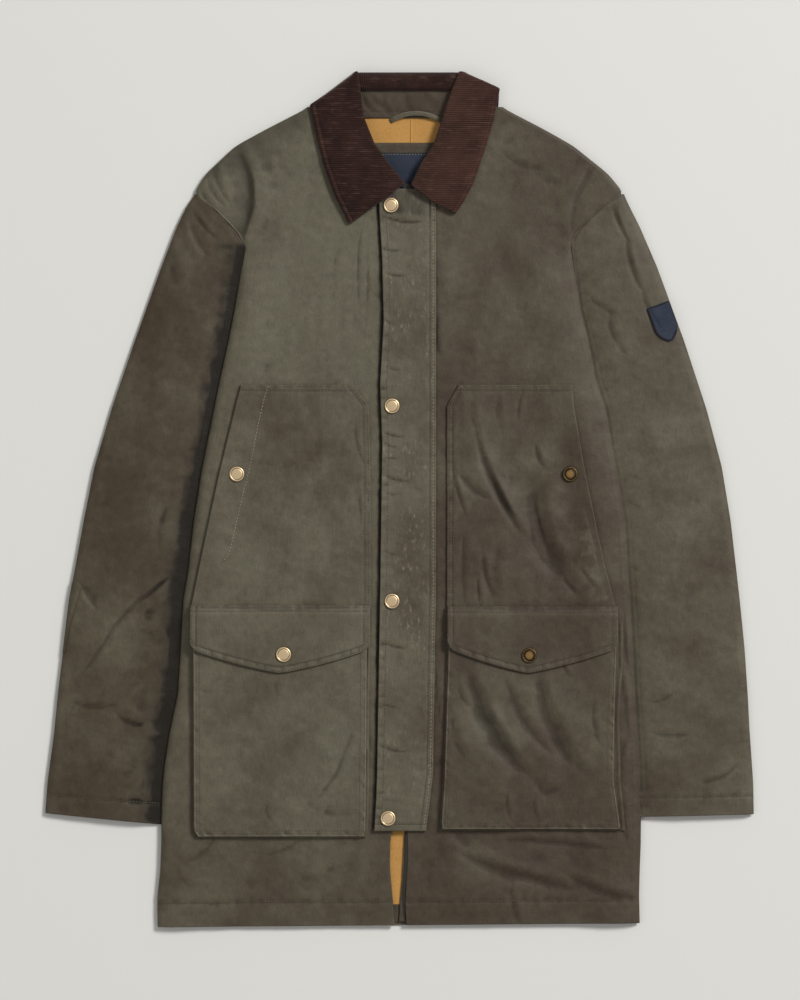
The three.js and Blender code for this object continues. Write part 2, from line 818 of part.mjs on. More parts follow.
// A collar leaf lies on the shoulder, rises to its roll and turns under at the back.
function collarLeaf(side) {
  const table = LEAVES[side];
  const low = table[0].y;
  const high = table[table.length - 1].y;
  const isLeft = side === 'left';
  const rollSide = isLeft ? 'right' : 'left';
  const makeRow = (y) => {
    const rise = ROLL_RISE * smooth((y - low) / (LEAF_FRONT[side] - low));
    const rollTop = LEAF_REST + CORDUROY + rise;
    const leafTop = LEAF_REST + CORDUROY;
    const rollEdge = lerp(rollTop, leafFloor(y), clamp01((y - LEAF_FRONT[side]) / ROLL_EASE));
    const turned = clamp01((y - LEAF_TURN[side]) / TURN_EASE);
    const turnEdge = lerp(leafTop, COLLAR_LIFT + SEAM, turned);
    return {
      y,
      left: at(table, 'left', y),
      right: at(table, 'right', y),
      leftEdge: isLeft ? turnEdge : rollEdge,
      rightEdge: isLeft ? rollEdge : turnEdge,
    };
  };
  const makeGrid = (step, depth) => {
    const count = Math.round((high - low) / step);
    const rows = [];
    for (let i = 0; i <= count; i += 1) rows.push(makeRow(lerp(low, high, i / count)));
    return panelGrid({
      rows,
      radius: LEAF_RADIUS,
      leftArc: true,
      rightArc: true,
      spread: 1,
      top: (x, y) => {
        const span = at(table, 'right', y) - at(table, 'left', y);
        const near = 1 - Math.abs(x - at(table, rollSide, y)) / span;
        const rise = ROLL_RISE * smooth((y - low) / (LEAF_FRONT[side] - low)) * near;
        const wale = Math.round((y - low) / (WALE_PITCH / 2)) % 2;
        return LEAF_REST + CORDUROY + rise - wale * depth;
      },
    });
  };
  const plain = makeGrid(WALE_PITCH * 4, 0);
  const inside = moved(plain, -CORDUROY, { low: (x, y) => leafFloor(y) });
  return wall(makeGrid(WALE_PITCH / 2, WALE_DEPTH), inside);
}

function collarRoll() {
  const makeGrid = (count, depth) => ROLL_SECTION.map((place) => {
    const row = [];
    for (let c = 0; c <= count; c += 1) {
      const valley = (c % 2) * depth;
      const left = at(ROLL_ENDS, 'left', place.y);
      const right = at(ROLL_ENDS, 'right', place.y);
      row.push(new THREE.Vector3(lerp(left, right, c / count), place.y, place.z - valley));
    }
    return row;
  });
  const wales = Math.round((ROLL_ENDS[1].right - ROLL_ENDS[0].left) / WALE_PITCH);
  const plain = makeGrid(ROLL_INNER_COLUMNS, 0);
  const inside = moved(plain, -CORDUROY + WALE_DEPTH, { low: () => CORDUROY + SEAM });
  return wall(makeGrid(wales * 2, WALE_DEPTH), inside);
}

function collarFall() {
  return panel({
    rows: evenRows(COLLAR_FALL, TRIM_STEP),
    radius: FOLD_RADIUS,
    spread: 2,
    thickness: CORDUROY,
    top: () => CORDUROY,
  });
}

function collarStand() {
  const foot = LINING_TOP + COLLAR_LIFT + SEAM + CLOTH;
  const height = STAND[STAND.length - 1].y - STAND_FOOT;
  return panel({
    rows: STAND,
    radius: FOLD_RADIUS,
    spread: 4,
    thickness: CLOTH,
    top: (x, y) => lerp(foot, STAND_HEAD, smooth((y - STAND_FOOT) / height)),
  });
}

// A label or strip sewn on the lining
function neckPatch(place) {
  return panel({
    rows: place.rows.map((y) => ({ y, left: place.left, right: place.right })),
    radius: FOLD_RADIUS,
    spread: 2,
    thickness: TRIM,
    top: (x, y) => LINING_TOP + SEAM + TRIM + lift(y),
  });
}

// The hanger loop is a tape on an arch from one end of the neck seam to the other.
function hangerLoop() {
  const foot = LINING_TOP + COLLAR_LIFT + SEAM + TRIM;
  const arch = new THREE.QuadraticBezierCurve(
    new THREE.Vector2(HANGER.start.x, HANGER.start.y),
    new THREE.Vector2(HANGER.middle.x, HANGER.middle.y),
    new THREE.Vector2(HANGER.end.x, HANGER.end.y),
  );
  const low = [];
  const high = [];
  for (let i = 0; i <= HANGER.steps; i += 1) {
    const t = i / HANGER.steps;
    const place = arch.getPoint(t);
    const along = arch.getTangent(t).multiplyScalar(HANGER.halfWidth);
    const z = foot + CLOTH + SEAM + HANGER.rise * Math.sin(Math.PI * t);
    low.push(new THREE.Vector3(place.x + along.y, place.y - along.x, z));
    high.push(new THREE.Vector3(place.x - along.y, place.y + along.x, z));
  }
  const grid = [low, high];
  return wall(grid, moved(grid, -TRIM));
}

// The zip's tape shows beside the front's edge in the hem slit and at the neck.
function zipTape() {
  const rows = stations(CENTRE, CENTRE[0].y, ZIP.top, ZIP.step).map((y) => ({
    y: Math.max(y, ZIP.foot),
    left: at(CENTRE, 'right', y) - ZIP.hidden,
    right: at(CENTRE, 'right', y) + ZIP.shown,
  }));
  return panel({
    rows,
    radius: FOLD_RADIUS,
    spread: 1,
    thickness: TRIM,
    top: () => FRONT_INSIDE - SEAM,
  });
}

// A plain patch on the sleeve, tilted with it
function sleevePatch() {
  const { halfWidth, halfHeight, rows, columns } = SLEEVE_PATCH;
  const tilt = THREE.MathUtils.degToRad(SLEEVE_PATCH.tilt);
  const grid = [];
  for (let r = 0; r <= rows; r += 1) {
    const row = [];
    for (let c = 0; c <= columns; c += 1) {
      const u = lerp(-halfWidth, halfWidth, c / columns);
      const v = lerp(-halfHeight, halfHeight, r / rows);
      const x = SLEEVE_PATCH.x + u * Math.cos(tilt) - v * Math.sin(tilt);
      const y = SLEEVE_PATCH.y + u * Math.sin(tilt) + v * Math.cos(tilt);
      const edge = Math.abs(at(SLEEVE, 'right', y)) - x;
      const fall = (SLEEVE_TOP - SLEEVE_FOLD) * quarter(edge, FOLD_RADIUS);
      row.push(new THREE.Vector3(x, y, sleeveTop('right', x, y) - fall + SEAM * 3 + TRIM));
    }
    grid.push(row);
  }
  const under = grid.map((row) => row.map((point) => point.clone().setZ(point.z - TRIM)));
  return wall(grid, under);
}

// The part of the elbow patch that shows on top, moved out from the sleeve's own points
function elbowPatch() {
  const out = ELBOW_GAP + TRIM;
  const rows = ELBOW_PATCH.map(({ y, right }) => {
    const left = at(SLEEVE, 'left', y);
    return { y, left, right, leftEdge: sleeveFold('left', left, y) + SEAM / 2 + out };
  });
  return panel({
    rows,
    radius: FOLD_RADIUS,
    leftArc: true,
    spread: 2,
    thickness: TRIM,
    top: (x, y) => sleeveTop('left', x, y) + out,
  });
}

// A domed snap cap with a raised rim
function snapCap() {
  const profile = [
    [0, 0],
    [SNAP_RADIUS - 0.4, 0],
    [SNAP_RADIUS, 0.7],
    [SNAP_RADIUS - 0.8, SNAP_HEIGHT - 0.2],
    [SNAP_RADIUS - 1.8, SNAP_HEIGHT],
    [SNAP_RADIUS - 2.8, SNAP_HEIGHT - 0.7],
    [0, SNAP_HEIGHT - 0.4],
  ];
  const points = profile.map(([radius, height]) => new THREE.Vector2(radius, height));
  const geometry = new THREE.LatheGeometry(points, SNAP_SIDES);
  geometry.rotateX(Math.PI / 2);
  return geometry;
}

function addBody() {
  add('back', backPanel(), MATERIALS.waxed);
  add('back_lining', backLining(), MATERIALS.lining);
  add('hem_facing_right', hemFacing('left'), MATERIALS.waxed);
  add('hem_facing_left', hemFacing('right'), MATERIALS.waxed);
  add('front_right', frontPanel('left'), MATERIALS.waxed);
  add('front_left', frontPanel('right'), MATERIALS.waxed);
  add('zip_tape', zipTape(), MATERIALS.tape);
  add('storm_flap', stormFlap(), MATERIALS.waxed);
}

// The wearer's right side is at the left of the front view.
function addSides() {
  const sides = { left: 'right', right: 'left' };
  for (const [seen, worn] of Object.entries(sides)) {
    add(`sleeve_upper_${worn}`, upperSleeve(seen), MATERIALS.waxed);
    add(`sleeve_under_${worn}`, underSleeve(seen), MATERIALS.waxed);
    add(`hand_warmer_${worn}`, handWarmer(seen), MATERIALS.waxed);
    add(`bellows_pocket_${worn}`, bellowsPocket(seen), MATERIALS.waxed);
    add(`pocket_flap_${worn}`, pocketFlap(seen), MATERIALS.waxed);
    add(`collar_leaf_${worn}`, collarLeaf(seen), MATERIALS.corduroy);
  }
}

function addNeck() {
  add('collar_roll', collarRoll(), MATERIALS.corduroy);
  add('collar_fall', collarFall(), MATERIALS.corduroy);
  add('collar_stand', collarStand(), MATERIALS.waxed);
  add('label_backing', neckPatch(LABEL_BACKING), MATERIALS.waxed);
  add('neck_label', neckPatch(NECK_LABEL), MATERIALS.label);
  add('hanger_loop', hangerLoop(), MATERIALS.waxed);
}

function addPatches() {
  add('sleeve_patch', sleevePatch(), MATERIALS.label);
  add('elbow_patch_right', elbowPatch(), MATERIALS.waxed);
}

function addSnaps() {
  for (const snap of SNAPS) {
    const mesh = add(snap.name, snapCap(), MATERIALS.brass);
    mesh.position.set(snap.x, snap.y, snap.on + SEAM);
  }
}

addBody();
addSides();
addNeck();
addPatches();
addSnaps();

export default jacket;
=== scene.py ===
import math

import bpy
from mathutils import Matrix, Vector
import numpy as np


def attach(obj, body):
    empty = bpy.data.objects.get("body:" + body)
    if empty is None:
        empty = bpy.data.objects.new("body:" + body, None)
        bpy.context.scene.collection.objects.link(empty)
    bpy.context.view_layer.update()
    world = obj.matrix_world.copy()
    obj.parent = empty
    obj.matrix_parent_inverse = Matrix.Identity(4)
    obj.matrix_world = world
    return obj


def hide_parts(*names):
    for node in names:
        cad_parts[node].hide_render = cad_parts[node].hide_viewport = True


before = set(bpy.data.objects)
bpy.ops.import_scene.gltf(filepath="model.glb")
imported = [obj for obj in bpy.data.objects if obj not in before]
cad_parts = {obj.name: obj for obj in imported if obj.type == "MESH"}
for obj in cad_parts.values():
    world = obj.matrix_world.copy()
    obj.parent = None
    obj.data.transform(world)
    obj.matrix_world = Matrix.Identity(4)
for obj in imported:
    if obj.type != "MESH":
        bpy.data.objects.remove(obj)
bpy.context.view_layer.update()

# The jacket lies flat on its back. Lengths below are in millimetres: +X is right and +Y is
# towards the collar as the front is seen, and +Z is up. Meshes are made in metres.
MM = 0.001

# The photograph's frame: 800 x 1000, seen from straight above
IMAGE_HEIGHT = 1000
PIXEL = 1.08
VIEW_CENTRE = (0.5, -0.5)
CAMERA_HEIGHT = 4000
SENSOR = 36

# Cloth
CLOTH = 1.6
LINING = 0.9
CORDUROY = 2.6
DOUBLED_CLOTH = 1.8
TRIM = 0.8
SEAM = 0.3
LEAST_WALL = 0.3

# Heights above the surface that the jacket lies on
FRONT_TOP = 7.2
BODY_FOLD = 3.7
SLEEVE_TOP = 6.9
SLEEVE_FOLD = 3.4
TUCKED_TOP = {"left": 3.4, "right": 5.6}
TUCKED_FOLD = 1.9
TUCK_WIDTH = 30
BELLOWS = 3.6
COLLAR_LIFT = 2.9
LIFT_START = 352
LIFT_END = 382
LEAF_REST = 9.7
ROLL_RISE = 5.5
LINING_TOP = CLOTH + SEAM + LINING
PLACKET_TOP = FRONT_TOP + SEAM + DOUBLED_CLOTH
PATCH_TOP = FRONT_TOP + SEAM + CLOTH
POCKET_TOP = FRONT_TOP + SEAM + BELLOWS + CLOTH
FLAP_TOP = POCKET_TOP + SEAM + DOUBLED_CLOTH

# How round the body's side folds are at the left and at the right, and how far the body
# swells beside them: height, distance of the top from the fold, and width
SIDE_RADIUS = {"left": 8, "right": 15}
SIDE_FULLNESS = {"left": (3.4, 22, 24), "right": (4.4, 30, 24)}
FOLD_RADIUS = 7
EDGE_RADIUS = 1.1
SLEEVE_RADIUS = 9
POCKET_RADIUS = 2.2
WALE_PITCH = 2.27
WALE_DEPTH = 0.7
WALE_SAMPLES = 6

# Points of a grid stand close together at its edges, where seams and rims are.
NEAR_EDGE = np.array([0, 0.35, 0.9, 1.6, 2.4, 3.4, 5.0, 6.4, 7.4, 8.4, 10.5])
FINE = 1.8
MIDDLING = 2.5
COARSE = 8
# The unseen side of a shell takes every third point of the seen side
THINNED = 3

# y, left edge, right edge of the body: side folds, armhole seams, then shoulder lines
BODY = np.array([
    (-460, -261.5, 259.7), (-430, -262, 259), (-400, -258.7, 259.7), (-372, -257.6, 260.8),
    (-347, -257.6, 261), (-310, -256.5, 260.5), (-286, -254, 260), (-250, -248.5, 257.6),
    (-211, -240, 255), (-160, -236.5, 253), (-108, -234, 250), (-80, -229, 248),
    (-23, -222.5, 244.6), (35, -213.5, 235), (97, -201, 224), (131, -194, 213),
    (172, -185, 205), (208, -178, 196), (250, -171, 190.6), (273, -167.5, 188),
    (284.6, -173.3, 190), (294.3, -180.9, 197), (316, -202.6, 219.8), (328, -219.5, 239), (333, -221, 241),
    (352, -209.5, 225.5), (382, -177.5, 188), (399, -146.5, 158.2), (424, -98, 110),
])
ARMPIT = 273
SEAM_FOOT = 284.6
SHOULDER = 330
NECK_POINT = 424
HEM = -460

# y, outer edge of the left and right sleeve
SLEEVE = np.array([
    (-347, -383, 383), (-310, -380.5, 382.4), (-250, -373.2, 378.5), (-211, -369.5, 376.5),
    (-160, -363.3, 373), (-108, -357, 367.8), (-23, -341.5, 358), (35, -330, 348.5),
    (97, -311.6, 332.1), (172, -286, 307.5), (250, -258, 279), (294.3, -241, 260),
    (318, -229.5, 248), (326, -224, 244.5), (330, -221, 242.5),
])
# y, right edge of what shows of the elbow patch
ELBOW_PATCH = np.array([
    (-166, -361.5), (-158, -360.2), (-134, -355.5), (-101, -345), (-93, -343), (-89, -345),
])
CUFF = -347
CUFF_SLANT_START = -250
# How far the cuff's inner and outer corner lie above the cuff's row
CUFF_SLANT = {"left": (-4.5, 8), "right": (4, 6.8)}

# y, edge of the left and of the right front along the zip and round the neck
CENTRE = np.array([
    (-460, -5, 7.4), (-448, -6, 6.5), (-435, -7, 5.9), (-421, -8.3, 6.7), (-400, -10.3, 8),
    (-388, -10.3, 8.6), (-372, -10, 8.4), (-347, -7.5, 8),
    (316, -6, 8), (330, -6, 14), (352, -12, 28), (382, -34, 46), (399, -42, 53), (424, -49, 61),
])
HEM_SLOPE = 0.0083
HEM_SLOPE_START = -372

# y, left edge, right edge of the storm flap
PLACKET = np.array([
    (-358, -27.5, 28.6), (-324, -25.4, 33), (-297, -24.5, 36.2), (-98, -21.1, 39.4),
    (60, -18.9, 39.4), (124, -21.1, 39.4), (193, -17.3, 39.4), (260, -18.9, 39.4),
    (313, -22.1, 39.4), (336, -22, 39),
])

# y, left edge, right edge of the hand-warmer patches and the bellows pockets
HAND_WARMER = {
    "left": np.array([
        (-118, -225.5, -31), (-62, -214, -31), (27, -195, -31), (101, -177, -33),
        (124, -171, -51),
    ]),
    "right": np.array([
        (-118, 51, 234), (-65, 51, 220), (31, 51, 200), (102, 51, 188), (124, 64, 186),
    ]),
}
POCKET = {
    "left": np.array([
        (-364, -217, -39), (-357, -222, -36.5), (-240, -222.5, -35.5), (-129, -223, -35),
    ]),
    "right": np.array([
        (-356, 46, 238), (-348, 45, 237.5), (-303, 48, 231), (-240, 50, 232),
        (-129, 53.5, 235),
    ]),
}
# left and right edge, top, lower corners and point of a pocket's flap, and the point's x
FLAP = {
    "left": (-226, -32, -114, -161, -187, -129),
    "right": (51.5, 235.5, -115, -160, -187, 139),
}

# y, left edge, right edge of the collar's leaves
LEAF = {
    "left": np.array([
        (299, -55.5, -51), (318, -65, -25), (327.5, -70, -10.5), (341.5, -75, 5.4),
        (361, -82, -10.5), (384, -88, -27), (414, -94.5, -39), (426, -97, -40.5),
        (440, -78, -42), (461.5, -49.5, -45.2),
    ]),
    "right": np.array([
        (310, 57, 62), (322, 33.5, 70), (339, 12, 79), (364.5, 24, 88), (382, 36.5, 94),
        (410, 45.6, 102), (444, 57, 108.5), (452, 60.5, 92), (461.5, 64.5, 71),
    ]),
}
LEAF_CREASES = [
    (-60, 400, -52, 350, 3, 10, 1.0),
    (-66, 372, -40, 340, 3, 9, -1.0),
    (74, 404, 66, 352, 3, 10, 1.0),
    (60, 372, 42, 344, 3, 9, -1.0),
]
LEAF_TURN = {"left": 426, "right": 444}
LEAF_FRONT = {"left": 341.5, "right": 339}
COLLAR_FALL = np.array([(392, -90, 102), (426, -96, 107), (444, -73, 108), (461, -50, 70)])

# name of a snap, x, y and the piece that it is set on
SNAPS = [
    ("placket_1", -9.2, 317.6, "storm_flap_cloth"),
    ("placket_2", -8.1, 101, "storm_flap_cloth"),
    ("placket_3", -8.1, -109.6, "storm_flap_cloth"),
    ("placket_4", -12.4, -344, "storm_flap_cloth"),
    ("hand_warmer_right", -175.5, 27.5, "hand_warmer_right_cloth"),
    ("hand_warmer_left", 184.1, 27.5, "hand_warmer_left_cloth"),
    ("pocket_right", -125, -167, "pocket_flap_right_cloth"),
    ("pocket_left", 139.9, -168, "pocket_flap_left_cloth"),
]
SNAP_RADIUS = 8.3
DARKENED = ("hand_warmer_left", "pocket_left")

# Creases: from x, y to x, y, sideways bow at the middle, half width, height (below 0 a trough).
# A ridge has a hollow on its right as one walks along it.
BODY_CREASES = [
    (-172, 388, -166, 278, -14, 6, 2.4),
    (-198, 372, -182, 322, 3, 5, 1.5),
    (-214, 346, -196, 312, 2, 5, 1),
    (-140, 352, -146, 300, 2, 12, 1.2),
    (-206, 352, -186, 318, 2, 5, 1.1),
    (-37, 300, -41, 205, 3, 2.6, 0.8),
    (-33, 262, -36, 180, -2, 2.2, 0.6),
    (-60, 282, -66, 226, 2, 5, 0.5),
    (-150, 250, -165, 150, 8, 12, 1),
    (-95, 240, -120, 170, 6, 14, 0.8),
    (-46, 84, -37, 40, 2, 2.5, 0.7),
    (-44, 20, -38, -40, -2, 2.5, 0.6),
    (184, 286, 213, 368, -11, 4, 1.8),
    (150, 372, 178, 344, 3, 7, 1),
    (112, 380, 160, 362, 3, 6, 0.8),
    (120, 300, 160, 190, -8, 15, 1.2),
    (66, 300, 52, 210, 4, 8, 0.6),
    (150, 250, 138, 180, -4, 9, 0.8),
    (46, 200, 50, 150, 2, 5, 0.7),
    (43, -182, 46, -236, 1, 2.5, 0.8),
    (-30, -116, -34, -216, 1, 2.2, 0.9),
    (-33, -226, -29, -300, -1, 2.4, 0.9),
    (-36, -258, -26, -282, 1, 2.5, -1),
    (-235, -388, -206, -366, 2, 5.2, 0.8),
    (-240, -392, -216, -418, 2, 5.2, 0.7),
    (-146, -380, -112, -366, 2, 5.2, 0.7),
    (-228, -430, -178, -434, 1, 3.9, 0.5),
    (-90, -390, -50, -440, 4, 11.7, 0.5),
    (62, -372, 188, -410, 5, 7.8, 3.2),
    (118, -363, 224, -372, -3, 5.2, 2.1),
    (182, -398, 256, -424, 4, 6.5, 2.1),
    (56, -352, 90, -386, 3, 9.1, -1.8),
    (124, -412, 132, -456, 1, 4.5, 1.4),
    (70, -380, 54, -430, 5, 13, 1.7),
    (246, -120, 252, -190, 2, 4, 1.3),
    (240, -176, 250, -250, -2, 4, 1.5),
    (247, -262, 243, -300, 2, 4, 1.4),
    (244, -308, 250, -372, 2, 4, 1),
]
PLACKET_CREASES = [
    (-16, 307, 24, 302, 2, 2.6, 1.1),
    (-20, 274, 2, 272, 1, 2.4, 0.7),
    (-20, 248, 8, 244, 1.5, 2.6, 0.7),
    (33, 256, -6, 182, 4, 9.6, 0.5),
    (-18, 200, -4, 190, 1, 2.4, 0.4),
    (-20, 150, 4, 142, 1, 3, 0.4),
    (-19, 76, 6, 70, 1, 2.2, 0.8),
    (-20, 66, 0, 58, 1, 2.2, 0.7),
    (-19, 50, 2, 46, 1, 2, 0.6),
    (-19, 30, 8, 22, 1, 2.4, 0.7),
    (-20, 12, -2, 8, 1, 2.2, 0.4),
    (10, 40, 30, 10, 3, 6, 0.4),
    (-20, -50, 4, -58, 1, 3, 0.4),
    (-21, -150, 10, -158, 1, 3, 0.5),
    (12, -140, 26, -190, 3, 9.6, 0.4),
    (-23, -214, 0, -222, 1, 3, 0.6),
    (-24, -262, 10, -270, 1, 3, 0.5),
    (24, -230, 10, -290, -3, 11.2, 0.4),
    (-25, -318, 0, -322, 1, 3, 0.4),
]
SLEEVE_CREASES = [
    (-251, -90, -282, -113, -2, 4.5, 2.2),
    (-276, -110, -312, -150, 2, 4, 2.0),
    (-283, -106, -306, -134, -1, 2.6, -1.5),
    (-309, -148, -338, -188, -2, 5, 1.2),
    (-343, -94, -324, -120, 2, 4, -1.4),
    (-330, -60, -300, -96, 4, 12, 1.2),
    (-352, -214, -309, -218, 2, 5, 1.2),
    (-306, -226, -276, -240, 2, 5, 1.2),
    (-340, -240, -300, -290, 8, 12, 0.9),
    (-225, 262, -262, 60, 10, 12, 1.4),
    (-262, 150, -300, 20, 8, 12, 1.0),
    (-232, 20, -250, -60, 3, 8, 1.0),
    (-222, 318, -198, 286, 2, 4, 1.2),
    (-226, 300, -206, 262, 3, 6, -1.4),
    (-238, 272, -222, 220, 4, 8, 1.2),
    (-336, -300, -330, -340, 2, 8, 0.8),
    (232, 330, 250, 280, 2, 4, 1.4),
    (249, 282, 266, 225, 3, 5, 1.5),
    (265, 226, 285, 186, 2, 4, 1.2),
    (196, 243, 234, 203, 5, 5, 1.3),
    (232, 206, 250, 158, 5, 6, 1.2),
    (206, 152, 220, 128, 2, 2.8, 1.6),
    (216, 140, 227, 119, 1, 2.4, 1.2),
    (262, 110, 300, -40, -10, 13, 1.4),
    (310, 60, 330, -60, -8, 14, 1.0),
    (239, 9, 262, -6, 1, 2.6, 1.5),
    (246, -52, 263, -80, 1, 2.8, 1.4),
    (249, -76, 265, -93, 1, 2.4, 1.1),
    (252, -102, 266, -113, 1, 2.4, 1.0),
    (244, 34, 262, 26, 1, 3, 0.8),
    (290, -120, 330, -190, 6, 14, 1.0),
    (268, -216, 294, -206, 2, 4, 1.2),
    (264, -244, 312, -250, 2, 5, 1.2),
    (326, -304, 360, -288, 2, 5, 1.4),
    (340, -230, 372, -260, 4, 10, 0.8),
    (272, -300, 286, -330, 2, 6, 0.9),
]
HAND_WARMER_CREASES = [
    (90, 64, 134, -30, 3, 6, 3.8),
    (104, 24, 124, -14, 1, 3, 1.4),
    (158, 28, 198, -90, 8, 11, 5.2),
    (66, 42, 100, 6, 3, 6.9, 2),
    (61, 40, 72, -12, 2, 3.2, 1.5),
    (150, 58, 160, 36, 1, 4.6, 1.6),
    (150, -2, 162, -48, 2, 4.6, 1.8),
    (126, 66, 150, 20, 4, 11.5, 2.0),
    (94, -60, 101, -96, 1, 4.6, 1.5),
    (87, -84, 91, -118, 1, 3, 1.2),
    (73, -40, 74, -110, 1, 4.6, 1.1),
    (118, -50, 112, -112, 2, 8, 1.2),
    (180, -84, 194, -100, 1, 3, 1),
    (198, -72, 214, -94, 1, 3, 1.2),
    (112, 120, 116, 70, 1, 5.8, 0.9),
    (84, 118, 92, 70, 2, 6.9, 0.9),
    (136, 118, 130, 84, 1, 3, 0.7),
    (-162, 50, -104, 48, 3, 7.5, 0.7),
    (-190, 62, -164, 56, 1, 4.5, 0.4),
    (-108, 58, -82, 76, 2, 9, 0.6),
    (-112, 24, -88, 14, 2, 7.5, 0.5),
    (-86, 22, -44, -4, 3, 10.5, 0.6),
    (-70, 108, -54, 60, 3, 13.5, 0.5),
    (-160, -14, -118, -28, 4, 15, 0.4),
    (-206, -86, -150, -98, 4, 13.5, 0.4),
    (-120, -60, -124, -112, 2, 15, 0.3),
    (-40, 84, -52, 46, 2, 7.5, 0.5),
    (-44, -20, -58, -80, 4, 12, 0.4),
]
POCKET_CREASES = [
    (86, -190, 146, -290, 5, 10, 6.4),
    (122, -196, 166, -268, 4, 7, 2),
    (160, -190, 206, -286, 6, 10, 4.6),
    (66, -196, 80, -224, 2, 4, 1.2),
    (178, -170, 186, -190, 1, 3, 1.1),
    (66, -230, 76, -276, 3, 7.5, 1.5),
    (150, -296, 176, -304, 2, 8.8, 1.8),
    (120, -318, 122, -342, 1, 3, 0.8),
    (148, -322, 152, -344, 1, 3, 0.8),
    (86, -308, 120, -314, 3, 11.2, 1.2),
    (214, -220, 220, -262, 2, 5, 1),
    (-46, -250, -66, -302, -3, 5.6, 0.9),
    (-62, -296, -86, -328, -2, 5.6, 0.8),
    (-97, -321, -50, -332, 2, 7, 0.7),
    (-140, -326, -132, -350, 1, 4.2, 0.5),
    (-218, -198, -200, -203, 1, 4.2, 0.6),
    (-214, -232, -160, -248, 4, 9.8, 0.6),
    (-176, -270, -152, -284, 2, 8.4, 0.6),
    (-196, -182, -134, -196, 3, 9.8, 0.5),
    (-128, -190, -126, -212, 1, 4.2, 0.4),
    (-100, -220, -110, -290, 4, 16.8, 0.5),
    (-206, -300, -176, -316, 3, 11.2, 0.5),
    (-60, -190, -48, -230, 3, 9.8, 0.5),
]


def blend(a, b, t):
    return a + (b - a) * t


def smooth(t):
    s = np.clip(t, 0, 1)
    return s * s * (3 - 2 * s)


def quarter(distance, radius):
    """How far a rounded edge has fallen at a distance inside the edge, from 1 to 0"""
    t = 1 - np.clip(distance / radius, 0, 1)
    return 1 - np.sqrt(1 - t * t)


def edge(table, column, y, softness=4):
    """A table's column at y, with its corners rounded over a few millimetres"""
    total = 0
    offsets = np.linspace(-1.5, 1.5, 7)
    weights = np.exp(-offsets * offsets)
    for offset, weight in zip(offsets, weights):
        total = total + weight * np.interp(y + offset * softness, table[:, 0], table[:, column])
    return total / weights.sum()


def across(width, longest, step):
    """Distances over each width: close together at both edges, with even steps between"""
    count = max(2, round((longest - 2 * NEAR_EDGE[-1]) / step))
    scale = np.minimum(1, width / (2.4 * NEAR_EDGE[-1]))
    low = scale[:, None] * NEAR_EDGE
    high = width[:, None] - low[:, ::-1]
    inner = np.linspace(0, 1, count + 1)[1:-1]
    middle = low[:, -1:] + (high[:, :1] - low[:, -1:]) * inner
    return np.concatenate([low, middle, high], axis=1)


class Cut:
    """A piece of cloth as a grid: each point's place, and its distance to each side"""

    def __init__(self, left, right, low, high, step, shift=None, ys=None):
        if ys is None:
            ys = across(np.array([high - low]), high - low, step)[0] + low
        lefts = left(ys)
        widths = right(ys) - lefts
        self.left = across(widths, widths.max(), step)
        self.right = widths[:, None] - self.left
        self.x = lefts[:, None] + self.left
        self.y = np.repeat(ys[:, None], self.x.shape[1], axis=1)
        self.low = self.y - low
        self.high = high - self.y
        self.row = self.y
        if shift:
            self.y = self.y + shift(self.x, self.y)
        self.z = np.zeros_like(self.x)

    def sides(self):
        return np.minimum(np.minimum(self.left, self.right), np.minimum(self.low, self.high))


def table_cut(table, step, shift=None):
    return Cut(
        lambda y: edge(table, 1, y, 2),
        lambda y: edge(table, 2, y, 2),
        table[0, 0], table[-1, 0], step, shift,
    )


CREASE_DEPTH = 0.95


def creases(table, x, y):
    """The creases' height: soft on one side, steep on the other, and tapering to their ends"""
    height = np.zeros_like(x)
    wander = 1.2 * ripples(x, y, 34, 97)
    strength = 0.8 + 0.35 * ripples(x, y, 17, 98)
    for x1, y1, x2, y2, bow, half, rise in table:
        length = math.hypot(x2 - x1, y2 - y1)
        along = ((x - x1) * (x2 - x1) + (y - y1) * (y2 - y1)) / length ** 2
        off = ((x - x1) * (y2 - y1) - (y - y1) * (x2 - x1)) / length
        off = off - bow * 4 * along * (1 - along) - wander * min(1, half / 5)
        taper = np.sin(math.pi * np.clip((along + 0.15) / 1.3, 0, 1)) ** 1.3
        wide = half * (0.6 + 0.4 * taper)
        soft_side = np.exp(-np.abs(off / (2.4 * wide)) ** 1.5)
        steep = 0.6 + 0.5 * min(1, max(0, (half - 5) / 7))
        steep_side = np.exp(-(off / (steep * wide)) ** 2)
        ridge = np.where(off > 0, steep_side, soft_side)
        hollow = 0.6 * np.exp(-((off - 1.9 * steep * wide) / (steep * wide)) ** 2)
        height += CREASE_DEPTH * rise * taper * strength * (ridge - hollow)
    return height


def ripples(x, y, size, seed):
    """Smooth random heights from -1 to 1, with swells about size apart"""
    lattice = np.random.default_rng(seed).uniform(-1, 1, (64, 64))
    u = x / size + 29
    v = y / size + 31
    i = np.floor(u).astype(int)
    j = np.floor(v).astype(int)
    s = smooth(u - i)
    t = smooth(v - j)
    low = blend(lattice[i % 64, j % 64], lattice[(i + 1) % 64, j % 64], s)
    high = blend(lattice[i % 64, (j + 1) % 64], lattice[(i + 1) % 64, (j + 1) % 64], s)
    return blend(low, high, t)


def crumple(x, y, size, seed):
    """Heights with soft-edged facets, as waxed cloth takes when it has been folded"""
    bent_x = x + 0.35 * size * ripples(x, y, size * 1.4, seed + 1)
    bent_y = y + 0.35 * size * ripples(x, y, size * 1.4, seed + 2)
    n = ripples(bent_x, bent_y, size, seed)
    return 1 - 2.6 * np.sqrt(n * n + 0.004)


